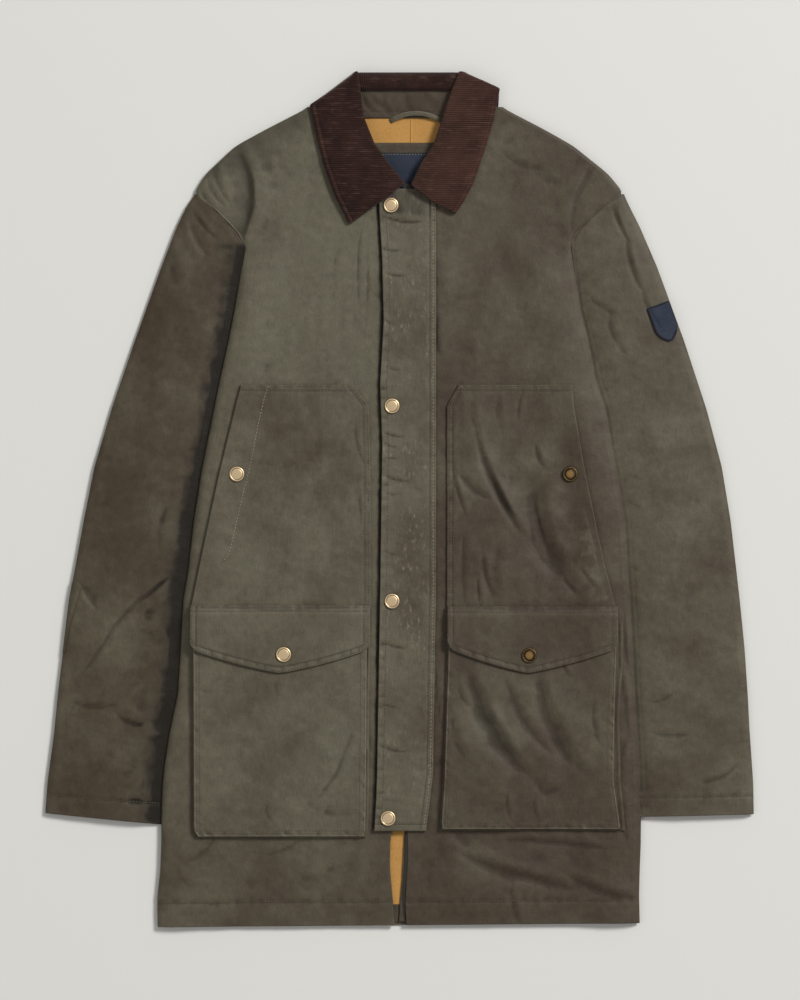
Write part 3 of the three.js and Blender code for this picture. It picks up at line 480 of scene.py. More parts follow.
def unevenness(x, y, seed, amount=1):
    """The slight swells and crumples of cloth that lies flat"""
    swell = 0.6 * ripples(x, y, 95, seed) + 0.36 * ripples(x, y, 42, seed + 10)
    facets = 0.34 * crumple(x, y, 58, seed + 20) + 0.2 * crumple(x, y, 24, seed + 30)
    small = 0.12 * ripples(x, y, 11, seed + 40) + 0.05 * crumple(x, y, 8, seed + 50)
    return amount * (swell + facets + small)


def pucker(along, distance, seed, depth=0.4):
    """Gathers that a seam pulls into the cloth beside it"""
    reach = np.exp(-(distance / 7) ** 2)
    gathers = ripples(along, distance * 0.3, 5.2, seed) + 0.6 * ripples(along, distance, 13, seed + 1)
    return depth * reach * gathers


def gathers(along, distance, seed, depth):
    """Fine folds across a hem, between its edge and its line of stitches"""
    reach = np.exp(-((distance - 3.5) / 3) ** 2)
    return depth * reach * ripples(along, distance * 0.2, 4.4, seed)


def groove(distance, place, depth=0.34, width=0.9):
    return -depth * np.exp(-((distance - place) / width) ** 2)


def wale(distance):
    """The rounded rib of corduroy over one pitch, from 0 in the valley to 1 on top"""
    t = 2 * (distance / WALE_PITCH - np.floor(distance / WALE_PITCH)) - 1
    return np.sqrt(np.maximum(0, 1 - np.abs(t) ** 2.6))


def lift(y):
    """The back of the neck rises over the collar's fall, which lies under it."""
    return COLLAR_LIFT * np.clip((y - LIFT_START) / (LIFT_END - LIFT_START), 0, 1)


def hem_shift(x, y):
    t = np.clip((HEM_SLOPE_START - y) / (HEM_SLOPE_START - HEM), 0, 1)
    return HEM_SLOPE * x * t


def body_fold(y):
    return BODY_FOLD + lift(y) * 0.42


def side_distance(x, y):
    return np.where(x < 0, x - edge(BODY, 1, y), edge(BODY, 2, y) - x)


def fullness(x, y):
    """How far the body swells beside its side folds, most under the arms"""
    height, place, width = [
        np.where(x < 0, left, right)
        for left, right in zip(SIDE_FULLNESS["left"], SIDE_FULLNESS["right"])
    ]
    along = smooth((ARMPIT + 10 - y) / 60) * blend(0.5, 1, smooth((y + 130) / 130))
    return height * along * np.exp(-((side_distance(x, y) - place) / width) ** 2)


def body_surface(x, y):
    """The outside of the fronts, without their edges and seams"""
    flat = FRONT_TOP + lift(y) * 0.4 + fullness(x, y)
    return flat + creases(BODY_CREASES, x, y) + unevenness(x, y, 3)


def raised(z):
    """Above 0 on ridges, where wax is rubbed off, and down to -1 in hollows, where shade is painted"""
    around = z.copy()
    for _ in range(8):
        padded = np.pad(around, 1, mode="edge")
        around = (padded[:-2, 1:-1] + padded[2:, 1:-1] + padded[1:-1, :-2] + padded[1:-1, 2:]) / 4
    return np.clip((z - around) * 5, -1, 0.35)


# Meshes


def lowest_near(z, reach):
    """At each point, the least height within a few points of it"""
    rows, columns = z.shape
    padded = np.pad(z, reach, mode="edge")
    least = z.copy()
    for i in range(2 * reach + 1):
        for j in range(2 * reach + 1):
            least = np.minimum(least, padded[i:i + rows, j:j + columns])
    return least


def thinned(count, every):
    return np.append(np.arange(0, count - 1, every), count - 1)


def rim_faces(upper, lower, rows, columns):
    """The faces of a shell's edge, each from one lower segment to the upper points over it"""
    sides = [
        (upper[0], lower[0], columns), (upper[:, -1], lower[:, -1], rows),
        (upper[-1, ::-1], lower[-1, ::-1], columns[-1] - columns[::-1]),
        (upper[::-1, 0], lower[::-1, 0], rows[-1] - rows[::-1]),
    ]
    faces = []
    for above, below, kept in sides:
        for k in range(len(kept) - 1):
            over = above[kept[k]:kept[k + 1] + 1]
            faces.append([over[0], below[k], below[k + 1], *over[:0:-1]])
    return faces


def shell(name, upper, lower, material, wear=None, every=THINNED):
    """A closed piece of cloth between an upper and a lower grid of points, each x, y, z"""
    rows, columns = [thinned(count, every) for count in upper[0].shape]
    if every > 1:
        lower = (lower[0], lower[1],
                 np.minimum(lower[2], lowest_near(upper[2], every) - LEAST_WALL))
    kept = np.ix_(rows, columns)
    points = np.concatenate([
        np.stack([g.ravel() for g in upper], 1),
        np.stack([g[kept].ravel() for g in lower], 1),
    ]) * MM
    above = np.arange(upper[0].size).reshape(upper[0].shape)
    below = np.arange(len(rows) * len(columns)).reshape(len(rows), len(columns)) + above.size
    faces = []
    for index, turn in ((above, 1), (below, -1)):
        quads = np.stack([index[:-1, :-1], index[:-1, 1:], index[1:, 1:], index[1:, :-1]], -1)
        faces += quads.reshape(-1, 4)[:, ::turn].tolist()
    faces += rim_faces(above, below, rows, columns)
    values = None
    if wear is not None:
        values = np.concatenate([wear.ravel(), wear[kept].ravel()])
    return piece_from(name, points, faces, material, values)


def piece_from(name, points, faces, material, wear=None):
    mesh = bpy.data.meshes.new(name)
    mesh.from_pydata(points.tolist(), [], [[int(i) for i in face] for face in faces])
    mesh.validate()
    mesh.shade_smooth()
    if wear is not None:
        attribute = mesh.attributes.new("wear", "FLOAT", "POINT")
        attribute.data.foreach_set("value", np.asarray(wear, dtype=np.float32))
    mesh.materials.append(material)
    piece = bpy.data.objects.new(name, mesh)
    bpy.context.scene.collection.objects.link(piece)
    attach(piece, "root")
    return piece


def cloth(name, cut, thickness, material, nodes, floor=None, under=False,
          wear=None, going=()):
    """A shell with its outside at cut.z, moved in by its thickness"""
    if under:
        inside = cut.z + thickness
        if floor is not None:
            inside = np.minimum(inside, floor)
        upper, lower = (cut.x, cut.y, inside), (cut.x, cut.y, cut.z)
    else:
        inside = cut.z - thickness
        if floor is not None:
            inside = np.maximum(inside, floor)
        upper, lower = (cut.x, cut.y, cut.z), (cut.x, cut.y, inside)
    piece = shell(name, upper, lower, material, wear, 1 if under else THINNED)
    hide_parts(*nodes)
    widths = (cut.left + cut.right)[:, 0]
    area = float(np.sum((widths[1:] + widths[:-1]) / 2 * np.diff(cut.row[:, 0])))
    width = widths.max()
    length = np.ptp(cut.row[:, 0])
    share = area / (width * length)
    width * MM
    max(area, 0.301 * width * length) * MM * MM if share < 0.999 else None
    CUTS[name] = cut
    return piece


CUTS = {}


def run(name, side, inset, start=0, end=1):
    """A line on a piece's outside at one distance from one of its sides, as x, y, z"""
    cut = CUTS[name]
    distance = getattr(cut, side)
    grids = [cut.x, cut.y, cut.z]
    if side in ("low", "high"):
        distance = distance.T
        grids = [g.T for g in grids]
    line = []
    for r in range(distance.shape[0]):
        order = np.argsort(distance[r])
        line.append([np.interp(inset, distance[r][order], g[r][order]) for g in grids])
    line = np.array(line)
    first, last = int(start * (len(line) - 1)), int(end * (len(line) - 1))
    return line[first:last + 1]


def on_piece(name, corners, step=3):
    """A line through corners x, y laid on a piece's outside, as x, y, z"""
    cut = CUTS[name]
    corners = np.array(corners, dtype=float)
    line = resample(np.column_stack([corners, np.zeros(len(corners))]), step)
    xs, ys, zs = cut.x.ravel(), cut.y.ravel(), cut.z.ravel()
    for point in line:
        gap = (xs - point[0]) ** 2 + (ys - point[1]) ** 2 + 0.05
        near = np.argpartition(gap, 4)[:4]
        point[2] = np.average(zs[near], weights=1 / gap[near])
    return line


def resample(line, step):
    lengths = np.linalg.norm(np.diff(line, axis=0), axis=1)
    reach = np.concatenate([[0], np.cumsum(lengths)])
    count = max(2, int(reach[-1] / step) + 1)
    at = np.linspace(0, reach[-1], count)
    return np.column_stack([np.interp(at, reach, line[:, k]) for k in range(3)])


STITCH_PITCH = 3.3
STITCH_LENGTH = 2.5
THREAD_RADIUS = 0.42


def stitches(name, lines, material, pitch=STITCH_PITCH, length=STITCH_LENGTH):
    """A thread's stitches along lines, each a short loop whose ends dip into the cloth"""
    places, directions = [], []
    for line in lines:
        path = resample(line, pitch)
        places.append((path[:-1] + path[1:]) / 2)
        directions.append(np.diff(path, axis=0))
    places = np.concatenate(places)
    along = np.concatenate(directions)
    along /= np.linalg.norm(along, axis=1)[:, None]
    side = np.cross(np.array([0, 0, 1.0]), along)
    side /= np.linalg.norm(side, axis=1)[:, None]
    up = np.cross(along, side)
    # distance along, sink below the cloth and share of the thread's radius at each ring
    rings = [(-0.42, 0.3, 0.7), (-0.2, -0.05, 1), (0.2, -0.05, 1), (0.42, 0.3, 0.7)]
    sides = 5
    template = [(-0.5, 0, -0.55)]
    for reach, sink, size in rings:
        for k in range(sides):
            angle = 2 * math.pi * k / sides
            template.append((reach, size * math.cos(angle), size * math.sin(angle) - sink))
    template.append((0.5, 0, -0.55))
    template = np.array(template)
    spans = template[:, 0] * length
    offsets = template[:, 1:] * THREAD_RADIUS
    points = (places[:, None] + along[:, None] * spans[None, :, None]
              + side[:, None] * offsets[None, :, :1] + up[:, None] * offsets[None, :, 1:])
    faces = []
    last = len(template) - 1
    for k in range(sides):
        n = (k + 1) % sides
        faces.append((0, 1 + n, 1 + k))
        for r in range(len(rings) - 1):
            a, b = 1 + r * sides, 1 + (r + 1) * sides
            faces.append((a + k, a + n, b + n))
            faces.append((a + k, b + n, b + k))
        end = 1 + (len(rings) - 1) * sides
        faces.append((end + k, end + n, last))
    faces = np.array(faces)
    steps = np.arange(len(places))[:, None, None] * len(template)
    piece = piece_from(name, points.reshape(-1, 3) * MM,
                       (faces[None] + steps).reshape(-1, 3).tolist(), material)
    return piece


def lathe(name, centre, profile, segments, material, wear):
    """A turned piece from a profile of radius and height, starting and ending on its axis"""
    angles = np.arange(segments) * 2 * math.pi / segments
    points = [(centre[0], centre[1], centre[2] + profile[0][1])]
    values = [wear[0]]
    for (radius, height), value in zip(profile[1:-1], wear[1:-1]):
        for angle in angles:
            points.append((centre[0] + radius * math.cos(angle),
                           centre[1] + radius * math.sin(angle), centre[2] + height))
            values.append(value)
    points.append((centre[0], centre[1], centre[2] + profile[-1][1]))
    values.append(wear[-1])
    faces = []
    rings = len(profile) - 2
    for k in range(segments):
        n = (k + 1) % segments
        faces.append((0, 1 + n, 1 + k))
        for r in range(rings - 1):
            a, b = 1 + r * segments, 1 + (r + 1) * segments
            faces.append((a + k, a + n, b + n, b + k))
        top = 1 + (rings - 1) * segments
        faces.append((top + k, top + n, len(points) - 1))
    mesh = bpy.data.meshes.new(name)
    mesh.from_pydata([tuple(c * MM for c in p) for p in points], [], faces)
    mesh.shade_smooth()
    attribute = mesh.attributes.new("wear", "FLOAT", "POINT")
    attribute.data.foreach_set("value", values)
    mesh.materials.append(material)
    piece = bpy.data.objects.new(name, mesh)
    bpy.context.scene.collection.objects.link(piece)
    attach(piece, "root")
    return piece


# Finishes


class Shade:
    """A shader value that Python's operators work on, each adding its Math node"""

    def __init__(self, finish, socket):
        self.finish = finish
        self.socket = socket

    def maths(self, operation, first, second):
        return self.finish.add("ShaderNodeMath", {"operation": operation}, {0: first, 1: second})

    def __add__(self, other):
        return self.maths("ADD", self, other)

    __radd__ = __add__

    def __sub__(self, other):
        return self.maths("SUBTRACT", self, other)

    def __rsub__(self, other):
        return self.maths("SUBTRACT", other, self)

    def __mul__(self, other):
        return self.maths("MULTIPLY", self, other)

    __rmul__ = __mul__

    def __pow__(self, other):
        return self.maths("POWER", self, other)

    def between(self, low, high):
        """0 at low, 1 at high, and clamped outside them"""
        return self.finish.add(
            "ShaderNodeMapRange", {"interpolation_type": "SMOOTHSTEP"},
            {0: self, 1: low, 2: high, 3: 0.0, 4: 1.0},
        )


class Finish:
    """A procedural material round one Principled shader"""

    def __init__(self, name, **uniform):
        self.material = bpy.data.materials.new(name)
        self.material.use_nodes = True
        self.tree = self.material.node_tree
        self.shader = self.tree.nodes["Principled BSDF"]
        for socket, value in uniform.items():
            self.shader.inputs[socket.replace("_", " ")].default_value = value
        self.place = self.add("ShaderNodeTexCoord", {}, {}, "Object")

    def add(self, kind, settings, inputs, output=0):
        """A node with its settings, then its sockets' values or links; gives one output"""
        node = self.tree.nodes.new(kind)
        for key, value in settings.items():
            if key == "stops":
                set_stops(node.color_ramp, value)
            else:
                setattr(node, key, value)
        for key, value in inputs.items():
            if isinstance(value, Shade):
                self.tree.links.new(value.socket, node.inputs[key])
            else:
                node.inputs[key].default_value = value
        return Shade(self, node.outputs[output])

    def noise(self, scale, detail=2.0, roughness=0.5, place=None):
        return self.add("ShaderNodeTexNoise", {},
                        {"Vector": place or self.place, "Scale": scale, "Detail": detail,
                         "Roughness": roughness}, "Fac")

    def stretched(self, scale, turn=0.0):
        """The place scaled along each axis after a turn about Z"""
        return self.add("ShaderNodeMapping", {},
                        {"Vector": self.place, "Rotation": (0, 0, turn), "Scale": scale})

    def threads(self, pitch, direction):
        """Waves a pitch apart, for the threads of a weave"""
        return self.add("ShaderNodeTexWave", {"bands_direction": direction},
                        {"Vector": self.place, "Scale": 0.05 / (pitch * MM) * 2 * math.pi / 1.0},
                        "Fac")

    def mix(self, factor, first, second):
        return self.add("ShaderNodeMix", {"data_type": "RGBA"},
                        {0: factor, 6: first, 7: second}, 2)

    def attribute(self, name):
        return self.add("ShaderNodeAttribute", {"attribute_name": name}, {}, "Fac")

    def feed(self, socket, value):
        self.tree.links.new(value.socket, self.shader.inputs[socket])

    def bump(self, height, distance, strength=1.0):
        return self.feed("Normal", self.add(
            "ShaderNodeBump", {},
            {"Height": height, "Distance": distance * MM, "Strength": strength},
        ))


def set_stops(ramp, stops):
    while len(ramp.elements) < len(stops):
        ramp.elements.new(1)
    for element, (place, colour) in zip(ramp.elements, stops):
        element.position = place
        element.color = colour


def linear(red, green, blue):
    """A colour given as the eye reads it, 0 to 255, as the shader's light values"""
    values = []
    for value in (red, green, blue):
        v = value / 255
        values.append(v / 12.92 if v <= 0.04045 else ((v + 0.055) / 1.055) ** 2.4)
    return (*values, 1)


OLIVE = linear(95, 90, 73)
BROWN = linear(66, 55, 42)
RUBBED_AND_HIGHLIGHT = linear(130, 122, 105)
PAINTED_SHADE = linear(27, 21, 13)
PAINTED_VALLEY_SHADE = linear(16, 9, 8)
PALE_PILE = linear(112, 82, 70)


def waxed_cotton(name, brown=0.5, to_hem=0.0, scuffs=0.0, gloss=0.28):
    """Olive waxed cotton in uneven greener and browner patches, with a close plain weave"""
    f = Finish(name)
    f.shader.inputs["Specular IOR Level"].default_value = gloss
    height = f.add("ShaderNodeSeparateXYZ", {}, {0: f.place}, "Y")
    clouds = f.noise(8.0, 3.0, 0.55)
    drift = f.noise(30.0, 3.0, 0.6)
    share = (clouds - 0.5) * 1.6 + (drift - 0.5) * 0.8 + brown - height * to_hem
    colour = f.mix(share.between(-0.1, 1.1), OLIVE, BROWN)
    grain = f.noise(800.0, 2.0, 0.6)
    blotches = f.noise(110.0, 3.0, 0.6)
    slubs = f.noise(1.0, 3.0, 0.6, f.stretched((900, 130, 130)))
    shade = grain * 0.4 + blotches * 0.65 + slubs * 0.55 + 0.2
    colour = f.add("ShaderNodeMix", {"data_type": "RGBA", "blend_type": "MULTIPLY"},
                   {0: 1.0, 6: colour, 7: shade}, 2)
    wear = f.attribute("wear")
    patchy = f.noise(160.0, 3.0, 0.7).between(0.3, 0.7)
    # Above 0 the attribute lightens the cloth: rubbed wax on ridges and edges, and a painted highlight along some
    # folds.
    rubbed = wear.between(0.05, 1.8) * (patchy * 0.7 + 0.3)
    if scuffs:
        streaks = f.noise(1.0, 5.0, 0.7, f.stretched((300, 110, 110), 0.5)).between(0.52, 0.8)
        worn_areas = f.noise(26.0, 2.0, 0.5).between(0.4, 0.66)
        rubbed = rubbed + streaks * worn_areas * scuffs
    colour = f.mix(rubbed, colour, RUBBED_AND_HIGHLIGHT)
    # Below 0 the attribute paints shade: in crease hollows, beside folds, along the left shoulder and under the
    # storm flap's edge.
    colour = f.mix((wear * -1.0).between(0.12, 1.6), colour, PAINTED_SHADE)
    f.feed("Base Color", colour)
    f.feed("Roughness", 0.46 + blotches * 0.14 - clouds * 0.1 + grain * 0.06)
    weave = f.threads(0.55, "X") + f.threads(0.55, "Y")
    dents = f.noise(70.0, 4.0, 0.6)
    f.bump(weave * 0.06 + grain * 0.14 + slubs * 0.12 + dents * 1.3, 0.8, 0.8)
    return f.material


def corduroy(name, dark, light):
    """Brown cotton pile, with painted shade in the valleys between its wales and a painted highlight along the
    leaves' edges, and rubbed pale in streaks
    """
    f = Finish(name, Sheen_Weight=0.2, Sheen_Roughness=0.4)
    f.shader.inputs["Specular IOR Level"].default_value = 0.15
    pile = f.noise(900.0, 3.0, 0.7)
    clouds = f.noise(34.0, 3.0, 0.6)
    streaks = f.noise(1.0, 4.0, 0.7, f.stretched((60, 330, 60), 0.06)).between(0.5, 0.72)
    wear = f.attribute("wear")
    colour = f.mix((pile * 0.4 + clouds * 0.6).between(0.3, 0.7), dark, light)
    colour = f.mix(streaks * 0.35, colour, PALE_PILE)
    # The wales' valleys take painted shade, and values above 1.05 a painted highlight along the leaves' edges.
    colour = f.mix(wear.between(0.1, 1.1), PAINTED_VALLEY_SHADE, colour)
    colour = f.mix(wear.between(1.05, 2.4), colour, PALE_PILE)
    f.feed("Base Color", colour)
    f.feed("Roughness", 0.85 + pile * 0.1)
    f.bump(pile, 0.35, 0.8)
    return f.material


def plain_cloth(name, first, second, roughness, pitch=0.5):
    """A close plain weave between two near colours"""
    f = Finish(name, Sheen_Weight=0.1, Sheen_Roughness=0.5)
    f.shader.inputs["Specular IOR Level"].default_value = 0.3
    grain = f.noise(500.0, 2.0, 0.6)
    clouds = f.noise(25.0, 2.0, 0.5)
    f.feed("Base Color", f.mix((grain * 0.5 + clouds * 0.5).between(0.25, 0.75), first, second))
    f.feed("Roughness", roughness + grain * 0.1)
    weave = f.threads(pitch, "X") + f.threads(pitch, "Y")
    f.bump(weave * 0.3 + grain * 0.4, 0.25, 0.7)
    return f.material


def antique_brass(name, light, dark):
    """Brass that is dark in its grooves and rubbed bright where it stands out"""
    f = Finish(name, Metallic=0.8)
    wear = f.attribute("wear")
    spots = f.noise(420.0, 4.0, 0.65)
    rubbed = (wear * 0.8 + spots * 0.4).between(0.25, 0.95)
    f.feed("Base Color", f.mix(rubbed, dark, light))
    f.feed("Roughness", 0.62 - wear * 0.22 - spots * 0.1)
    f.bump(spots, 0.12, 0.5)
    return f.material


WAXED = {
    "back": waxed_cotton("waxed_back", 0.7),
    "front_left": waxed_cotton("waxed_front_left", 0.3, 0.8),
    "front_right": waxed_cotton("waxed_front_right", 0.8, 0.4),
    "sleeve_left": waxed_cotton("waxed_sleeve_left", 0.72, -0.2, 0.0, 0.2),
    "stand": waxed_cotton("waxed_stand", 0.95),
    "sleeve_right": waxed_cotton("waxed_sleeve_right", 0.5, -0.1),
    "patch_left": waxed_cotton("waxed_patch_left", 0.42),
    "patch_right": waxed_cotton("waxed_patch_right", 0.72),
    "placket": waxed_cotton("waxed_placket", 0.35, 0.0, 1.3),
}
# One corduroy in two copies: the left leaf's is darker as painted shade, the right leaf's lighter as painted light;
# the roll and fall take the darker one.
CORD = {
    "left": corduroy("shaded_corduroy", linear(31, 18, 15), linear(60, 38, 32)),
    "right": corduroy("lit_corduroy", linear(49, 30, 25), linear(77, 51, 42)),
}
MUSTARD = plain_cloth("mustard_lining", linear(172, 126, 63), linear(198, 148, 82), 0.75)
NAVY = plain_cloth("navy_label", linear(36, 43, 58), linear(52, 59, 74), 0.8, 0.35)
NAVY_EDGE = plain_cloth("navy_edging", linear(18, 21, 28), linear(30, 33, 42), 0.8, 0.35)
TAPE = plain_cloth("dark_tape", linear(38, 36, 32), linear(52, 48, 42), 0.8, 0.6)
THREAD = plain_cloth("olive_thread", linear(66, 60, 48), linear(92, 86, 70), 0.7, 0.3)
PALE_THREAD = plain_cloth("pale_thread", linear(128, 120, 102), linear(158, 150, 130), 0.7, 0.3)
BRASS = antique_brass("antique_brass", linear(236, 208, 166), linear(86, 68, 44))
BRONZE = antique_brass("dark_brass", linear(160, 124, 76), linear(34, 27, 18))


# Pieces


def shade_beside(fold, x, y, reach):
    """How strongly shade is painted on the cloth on a fold's left, fading over its reach; the same mask also places
    a painted highlight
    """
    off = edge(fold, 1, y) - x
    ends = smooth((y - fold[0, 0]) / 14) * smooth((fold[-1, 0] - y) / 14)
    return ends * np.where(off > 0, np.clip(1 - off / reach, 0, 1) ** 1.3, smooth(1 + off / 4))


# y, x along the fold that runs down from each shoulder, with painted shade to its left, and down the right
# hand-warmer patch, with a painted highlight to its left
SHOULDER_FOLD = {
    "left": np.array([(276, -170), (284, -168), (318, -157), (346, -158), (386, -176)]),
    "right": np.array([(276, 187), (312, 186), (340, 194), (368, 214)]),
}
LIT_FOLD = np.array([(-118, 226), (-90, 218), (-40, 206), (10, 192), (40, 178)])


def front(side):
    """A front, rolled over at the side fold and seamed to the sleeve above it"""
    is_left = side == "left"
    column = 1 if is_left else 2
    outline = [lambda y: edge(BODY, column, y), lambda y: edge(CENTRE, column, y)]
    cut = Cut(*(outline if is_left else outline[::-1]), HEM, NECK_POINT, MIDDLING, hem_shift)
    outer, inner = (cut.left, cut.right) if is_left else (cut.right, cut.left)
    seamed = smooth((cut.row - ARMPIT) / 10) * smooth((SHOULDER - cut.row) / 6)
    surface = body_surface(cut.x, cut.y)
    fall = surface - (body_fold(cut.row) + SEAM / 2 + 0.1)
    below = smooth((ARMPIT + 20 - cut.row) / 60)
    radius = blend(FOLD_RADIUS, SIDE_RADIUS[side], below)
    z = surface - fall * quarter(outer, radius) * (1 - seamed)
    z = z - 0.8 * quarter(outer, EDGE_RADIUS) * seamed
    z = z + pucker(cut.row, outer, 5, 0.7) * seamed + groove(outer, 3.4, 0.5) * seamed
    z = z - 0.8 * quarter(inner, EDGE_RADIUS) - 0.8 * quarter(cut.low, EDGE_RADIUS)
    z = z + groove(cut.low, 26, 0.6, 1.5) + pucker(cut.x, np.abs(cut.low - 26), 8, 0.45)
    z = np.maximum(z, body_fold(cut.row) + SEAM / 2 + 0.1)
    cut.z = z
    node = "front_right" if is_left else "front_left"
    # Shade is painted on the front beside the fold that runs down from each shoulder, and along the left shoulder.
    strength, reach = (1.1, 40) if is_left else (0.45, 30)
    shade = strength * shade_beside(SHOULDER_FOLD[side], cut.x, cut.y, reach)
    if is_left:
        painted_shoulder_shade = 0.8 * (1 - smooth(outer / 125)) * smooth((cut.row - 325) / 35)
        shade = np.maximum(shade, painted_shoulder_shade)
    wear = 0.7 * raised(z) * (1 - np.clip(1.1 * shade, 0, 0.9)) - shade
    # Lighter along the side fold's edge, partly rubbed wax and partly a painted highlight, and a little along the
    # hem.
    wear = wear + 0.9 * quarter(outer, 3.5) * (1 - seamed) + 0.2 * quarter(cut.low, 2)
    # A painted shadow line beside the storm flap's free edge, darker on the left front.
    under_flap = cut.x - edge(PLACKET, 1, cut.y) if is_left else edge(PLACKET, 2, cut.y) - cut.x
    gap = np.exp(-((under_flap + 0.6) / 2.2) ** 2) * smooth((cut.row + 360) / 8)
    wear = wear - (1.8 if is_left else 0.5) * gap
    cloth(f"{node}_cloth", cut, CLOTH, WAXED[f"front_{side}"], [node],
          floor=body_fold(cut.row) + SEAM / 2, wear=wear)


def back():
    cut = Cut(lambda y: edge(BODY, 1, y), lambda y: edge(BODY, 2, y), HEM, NECK_POINT,
              COARSE, hem_shift)
    outer = np.minimum(cut.left, cut.right)
    seamed = smooth((cut.row - ARMPIT) / 10) * smooth((SHOULDER - cut.row) / 6)
    rise = (body_fold(cut.row) - SEAM / 2) * quarter(outer, FOLD_RADIUS) * (1 - seamed)
    cut.z = lift(cut.row) * (1 - quarter(outer, FOLD_RADIUS) * (1 - seamed)) + rise
    cut.z = cut.z + 0.35 * smooth(outer / 30) * (0.5 + 0.5 * ripples(cut.x, cut.y, 60, 71))
    cloth("back_cloth", cut, CLOTH, WAXED["back"], ["back"],
          floor=np.maximum(cut.z + 0.15, np.minimum(cut.z + CLOTH, body_fold(cut.row) - SEAM / 2)),
          under=True, wear=0 * cut.z)


def lining_inset(y):
    return blend(10, 26, np.clip((y - SEAM_FOOT) / (LIFT_START - SEAM_FOOT), 0, 1))


def back_lining():
    cut = Cut(lambda y: edge(BODY, 1, y) + lining_inset(y),
              lambda y: edge(BODY, 2, y) - lining_inset(y), -437.7, 412, COARSE, hem_shift)
    cut.z = LINING_TOP + lift(cut.row) + 0.25 * ripples(cut.x, cut.y, 30, 81)
    cloth("back_lining_cloth", cut, LINING, MUSTARD, ["back_lining"],
          wear=0 * cut.z)


def hem_facing(side):
    if side == "left":
        cut = Cut(lambda y: edge(BODY, 1, y) + 10, lambda y: 0 * y - 1.15, -457, -438, COARSE,
                  hem_shift)
    else:
        cut = Cut(lambda y: 0 * y - 0.85, lambda y: edge(BODY, 2, y) - 10, -457, -438, COARSE,
                  hem_shift)
    cut.z = LINING_TOP - 0.3 * quarter(cut.sides(), 1)
    node = "hem_facing_right" if side == "left" else "hem_facing_left"
    cloth(f"{node}_cloth", cut, LINING, WAXED["back"], [node],
          wear=0 * cut.z)


def sleeve_inner(side, y):
    return np.abs(edge(BODY, 1 if side == "left" else 2, y)) + SEAM


def sleeve_outer(side, y):
    return np.abs(edge(SLEEVE, 1 if side == "left" else 2, y))


def cuff_shift(side):
    inner_slant, outer_slant = CUFF_SLANT[side]

    def shift(x, y):
        inner, outer = sleeve_inner(side, y), sleeve_outer(side, y)
        t = np.clip((np.abs(x) - inner) / (outer - inner), 0, 1)
        share = np.clip((CUFF_SLANT_START - y) / (CUFF_SLANT_START - CUFF), 0, 1)
        return blend(inner_slant, outer_slant, t) * share

    return shift


def sleeve_fold(side, x, y):
    inward = np.abs(x) - sleeve_inner(side, y)
    return blend(TUCKED_FOLD, SLEEVE_FOLD, smooth(inward / TUCK_WIDTH))


def sleeve_surface(side, x, y):
    inner = sleeve_inner(side, y)
    width = sleeve_outer(side, y) - inner
    inward = np.abs(x) - inner
    beside = blend(TUCKED_TOP[side], FRONT_TOP, smooth((y - 215) / (SEAM_FOOT - 215)))
    rest = blend(SLEEVE_TOP, FRONT_TOP, smooth((y - 150) / 130))
    t = smooth(inward / TUCK_WIDTH)
    crown = 2.2 * np.clip(4 * inward / width * (1 - inward / width), 0, 1)
    crown = crown * smooth((300 - y) / 120)
    return (blend(beside, rest, t) + crown + creases(SLEEVE_CREASES, x, y) * t
            + unevenness(x, y, 11 if side == "left" else 13) * smooth(inward / 12))


def sleeve_cut(side, step, tuck=0):
    if side == "left":
        return Cut(lambda y: -sleeve_outer(side, y), lambda y: -sleeve_inner(side, y) + tuck,
                   CUFF, SHOULDER, step, cuff_shift(side))
    return Cut(lambda y: sleeve_inner(side, y) - tuck, lambda y: sleeve_outer(side, y),
               CUFF, SHOULDER, step, cuff_shift(side))


# How far each sleeve's edge runs in under the body's edge
SLEEVE_TUCK = {"left": 1.6, "right": 2.6}


# y, and how far from the body's fold the left sleeve lies in its shade there
SHADE_REACH = [(-347, -200, -80, 0, 50, 150, 273), (60, 58, 52, 44, 30, 38, 46)]


def upper_sleeve(side):
    cut = sleeve_cut(side, 2.3, SLEEVE_TUCK[side])
    outer, inner = (cut.left, cut.right) if side == "left" else (cut.right, cut.left)
    seamed = smooth((cut.row - ARMPIT) / 10)
    surface = sleeve_surface(side, cut.x, cut.row)
    low = sleeve_fold(side, cut.x, cut.row) + SEAM / 2
    z = surface - (surface - low - 0.1) * quarter(outer, SLEEVE_RADIUS)
    z = z - 0.9 * quarter(inner - SLEEVE_TUCK[side], EDGE_RADIUS) * seamed
    z = z + pucker(cut.row, inner, 15, 0.8) * seamed + groove(inner, 4.4, 0.3) * seamed
    z = z - 1.0 * quarter(cut.low, EDGE_RADIUS) + groove(cut.low, 22, 0.6, 1.4)
    z = z + pucker(cut.x, np.abs(cut.low - 22), 16, 0.6)
    cut.z = np.maximum(z, low + 0.1)
    worn = "right" if side == "left" else "left"
    reach = np.interp(cut.row, *SHADE_REACH) + 5 * ripples(cut.x, cut.row, 60, 17)
    # Shade is painted on each sleeve beside the body's fold: wide and deep on the left sleeve, narrow and faint on
    # the right.
    if side == "left":
        in_shade = 1.7 * np.clip(1 - inner / reach, 0, 1) ** 1.25 * (1 - seamed)
    else:
        in_shade = 0.5 * (1 - smooth(inner / 11)) * (1 - seamed)
    wear = 0.7 * raised(cut.z) + 0.3 * quarter(outer, 3) + 0.25 * quarter(cut.low, 2) - in_shade
    cloth(f"sleeve_upper_{worn}_cloth", cut, CLOTH, WAXED[f"sleeve_{side}"],
          [f"sleeve_upper_{worn}"], floor=low, wear=wear)


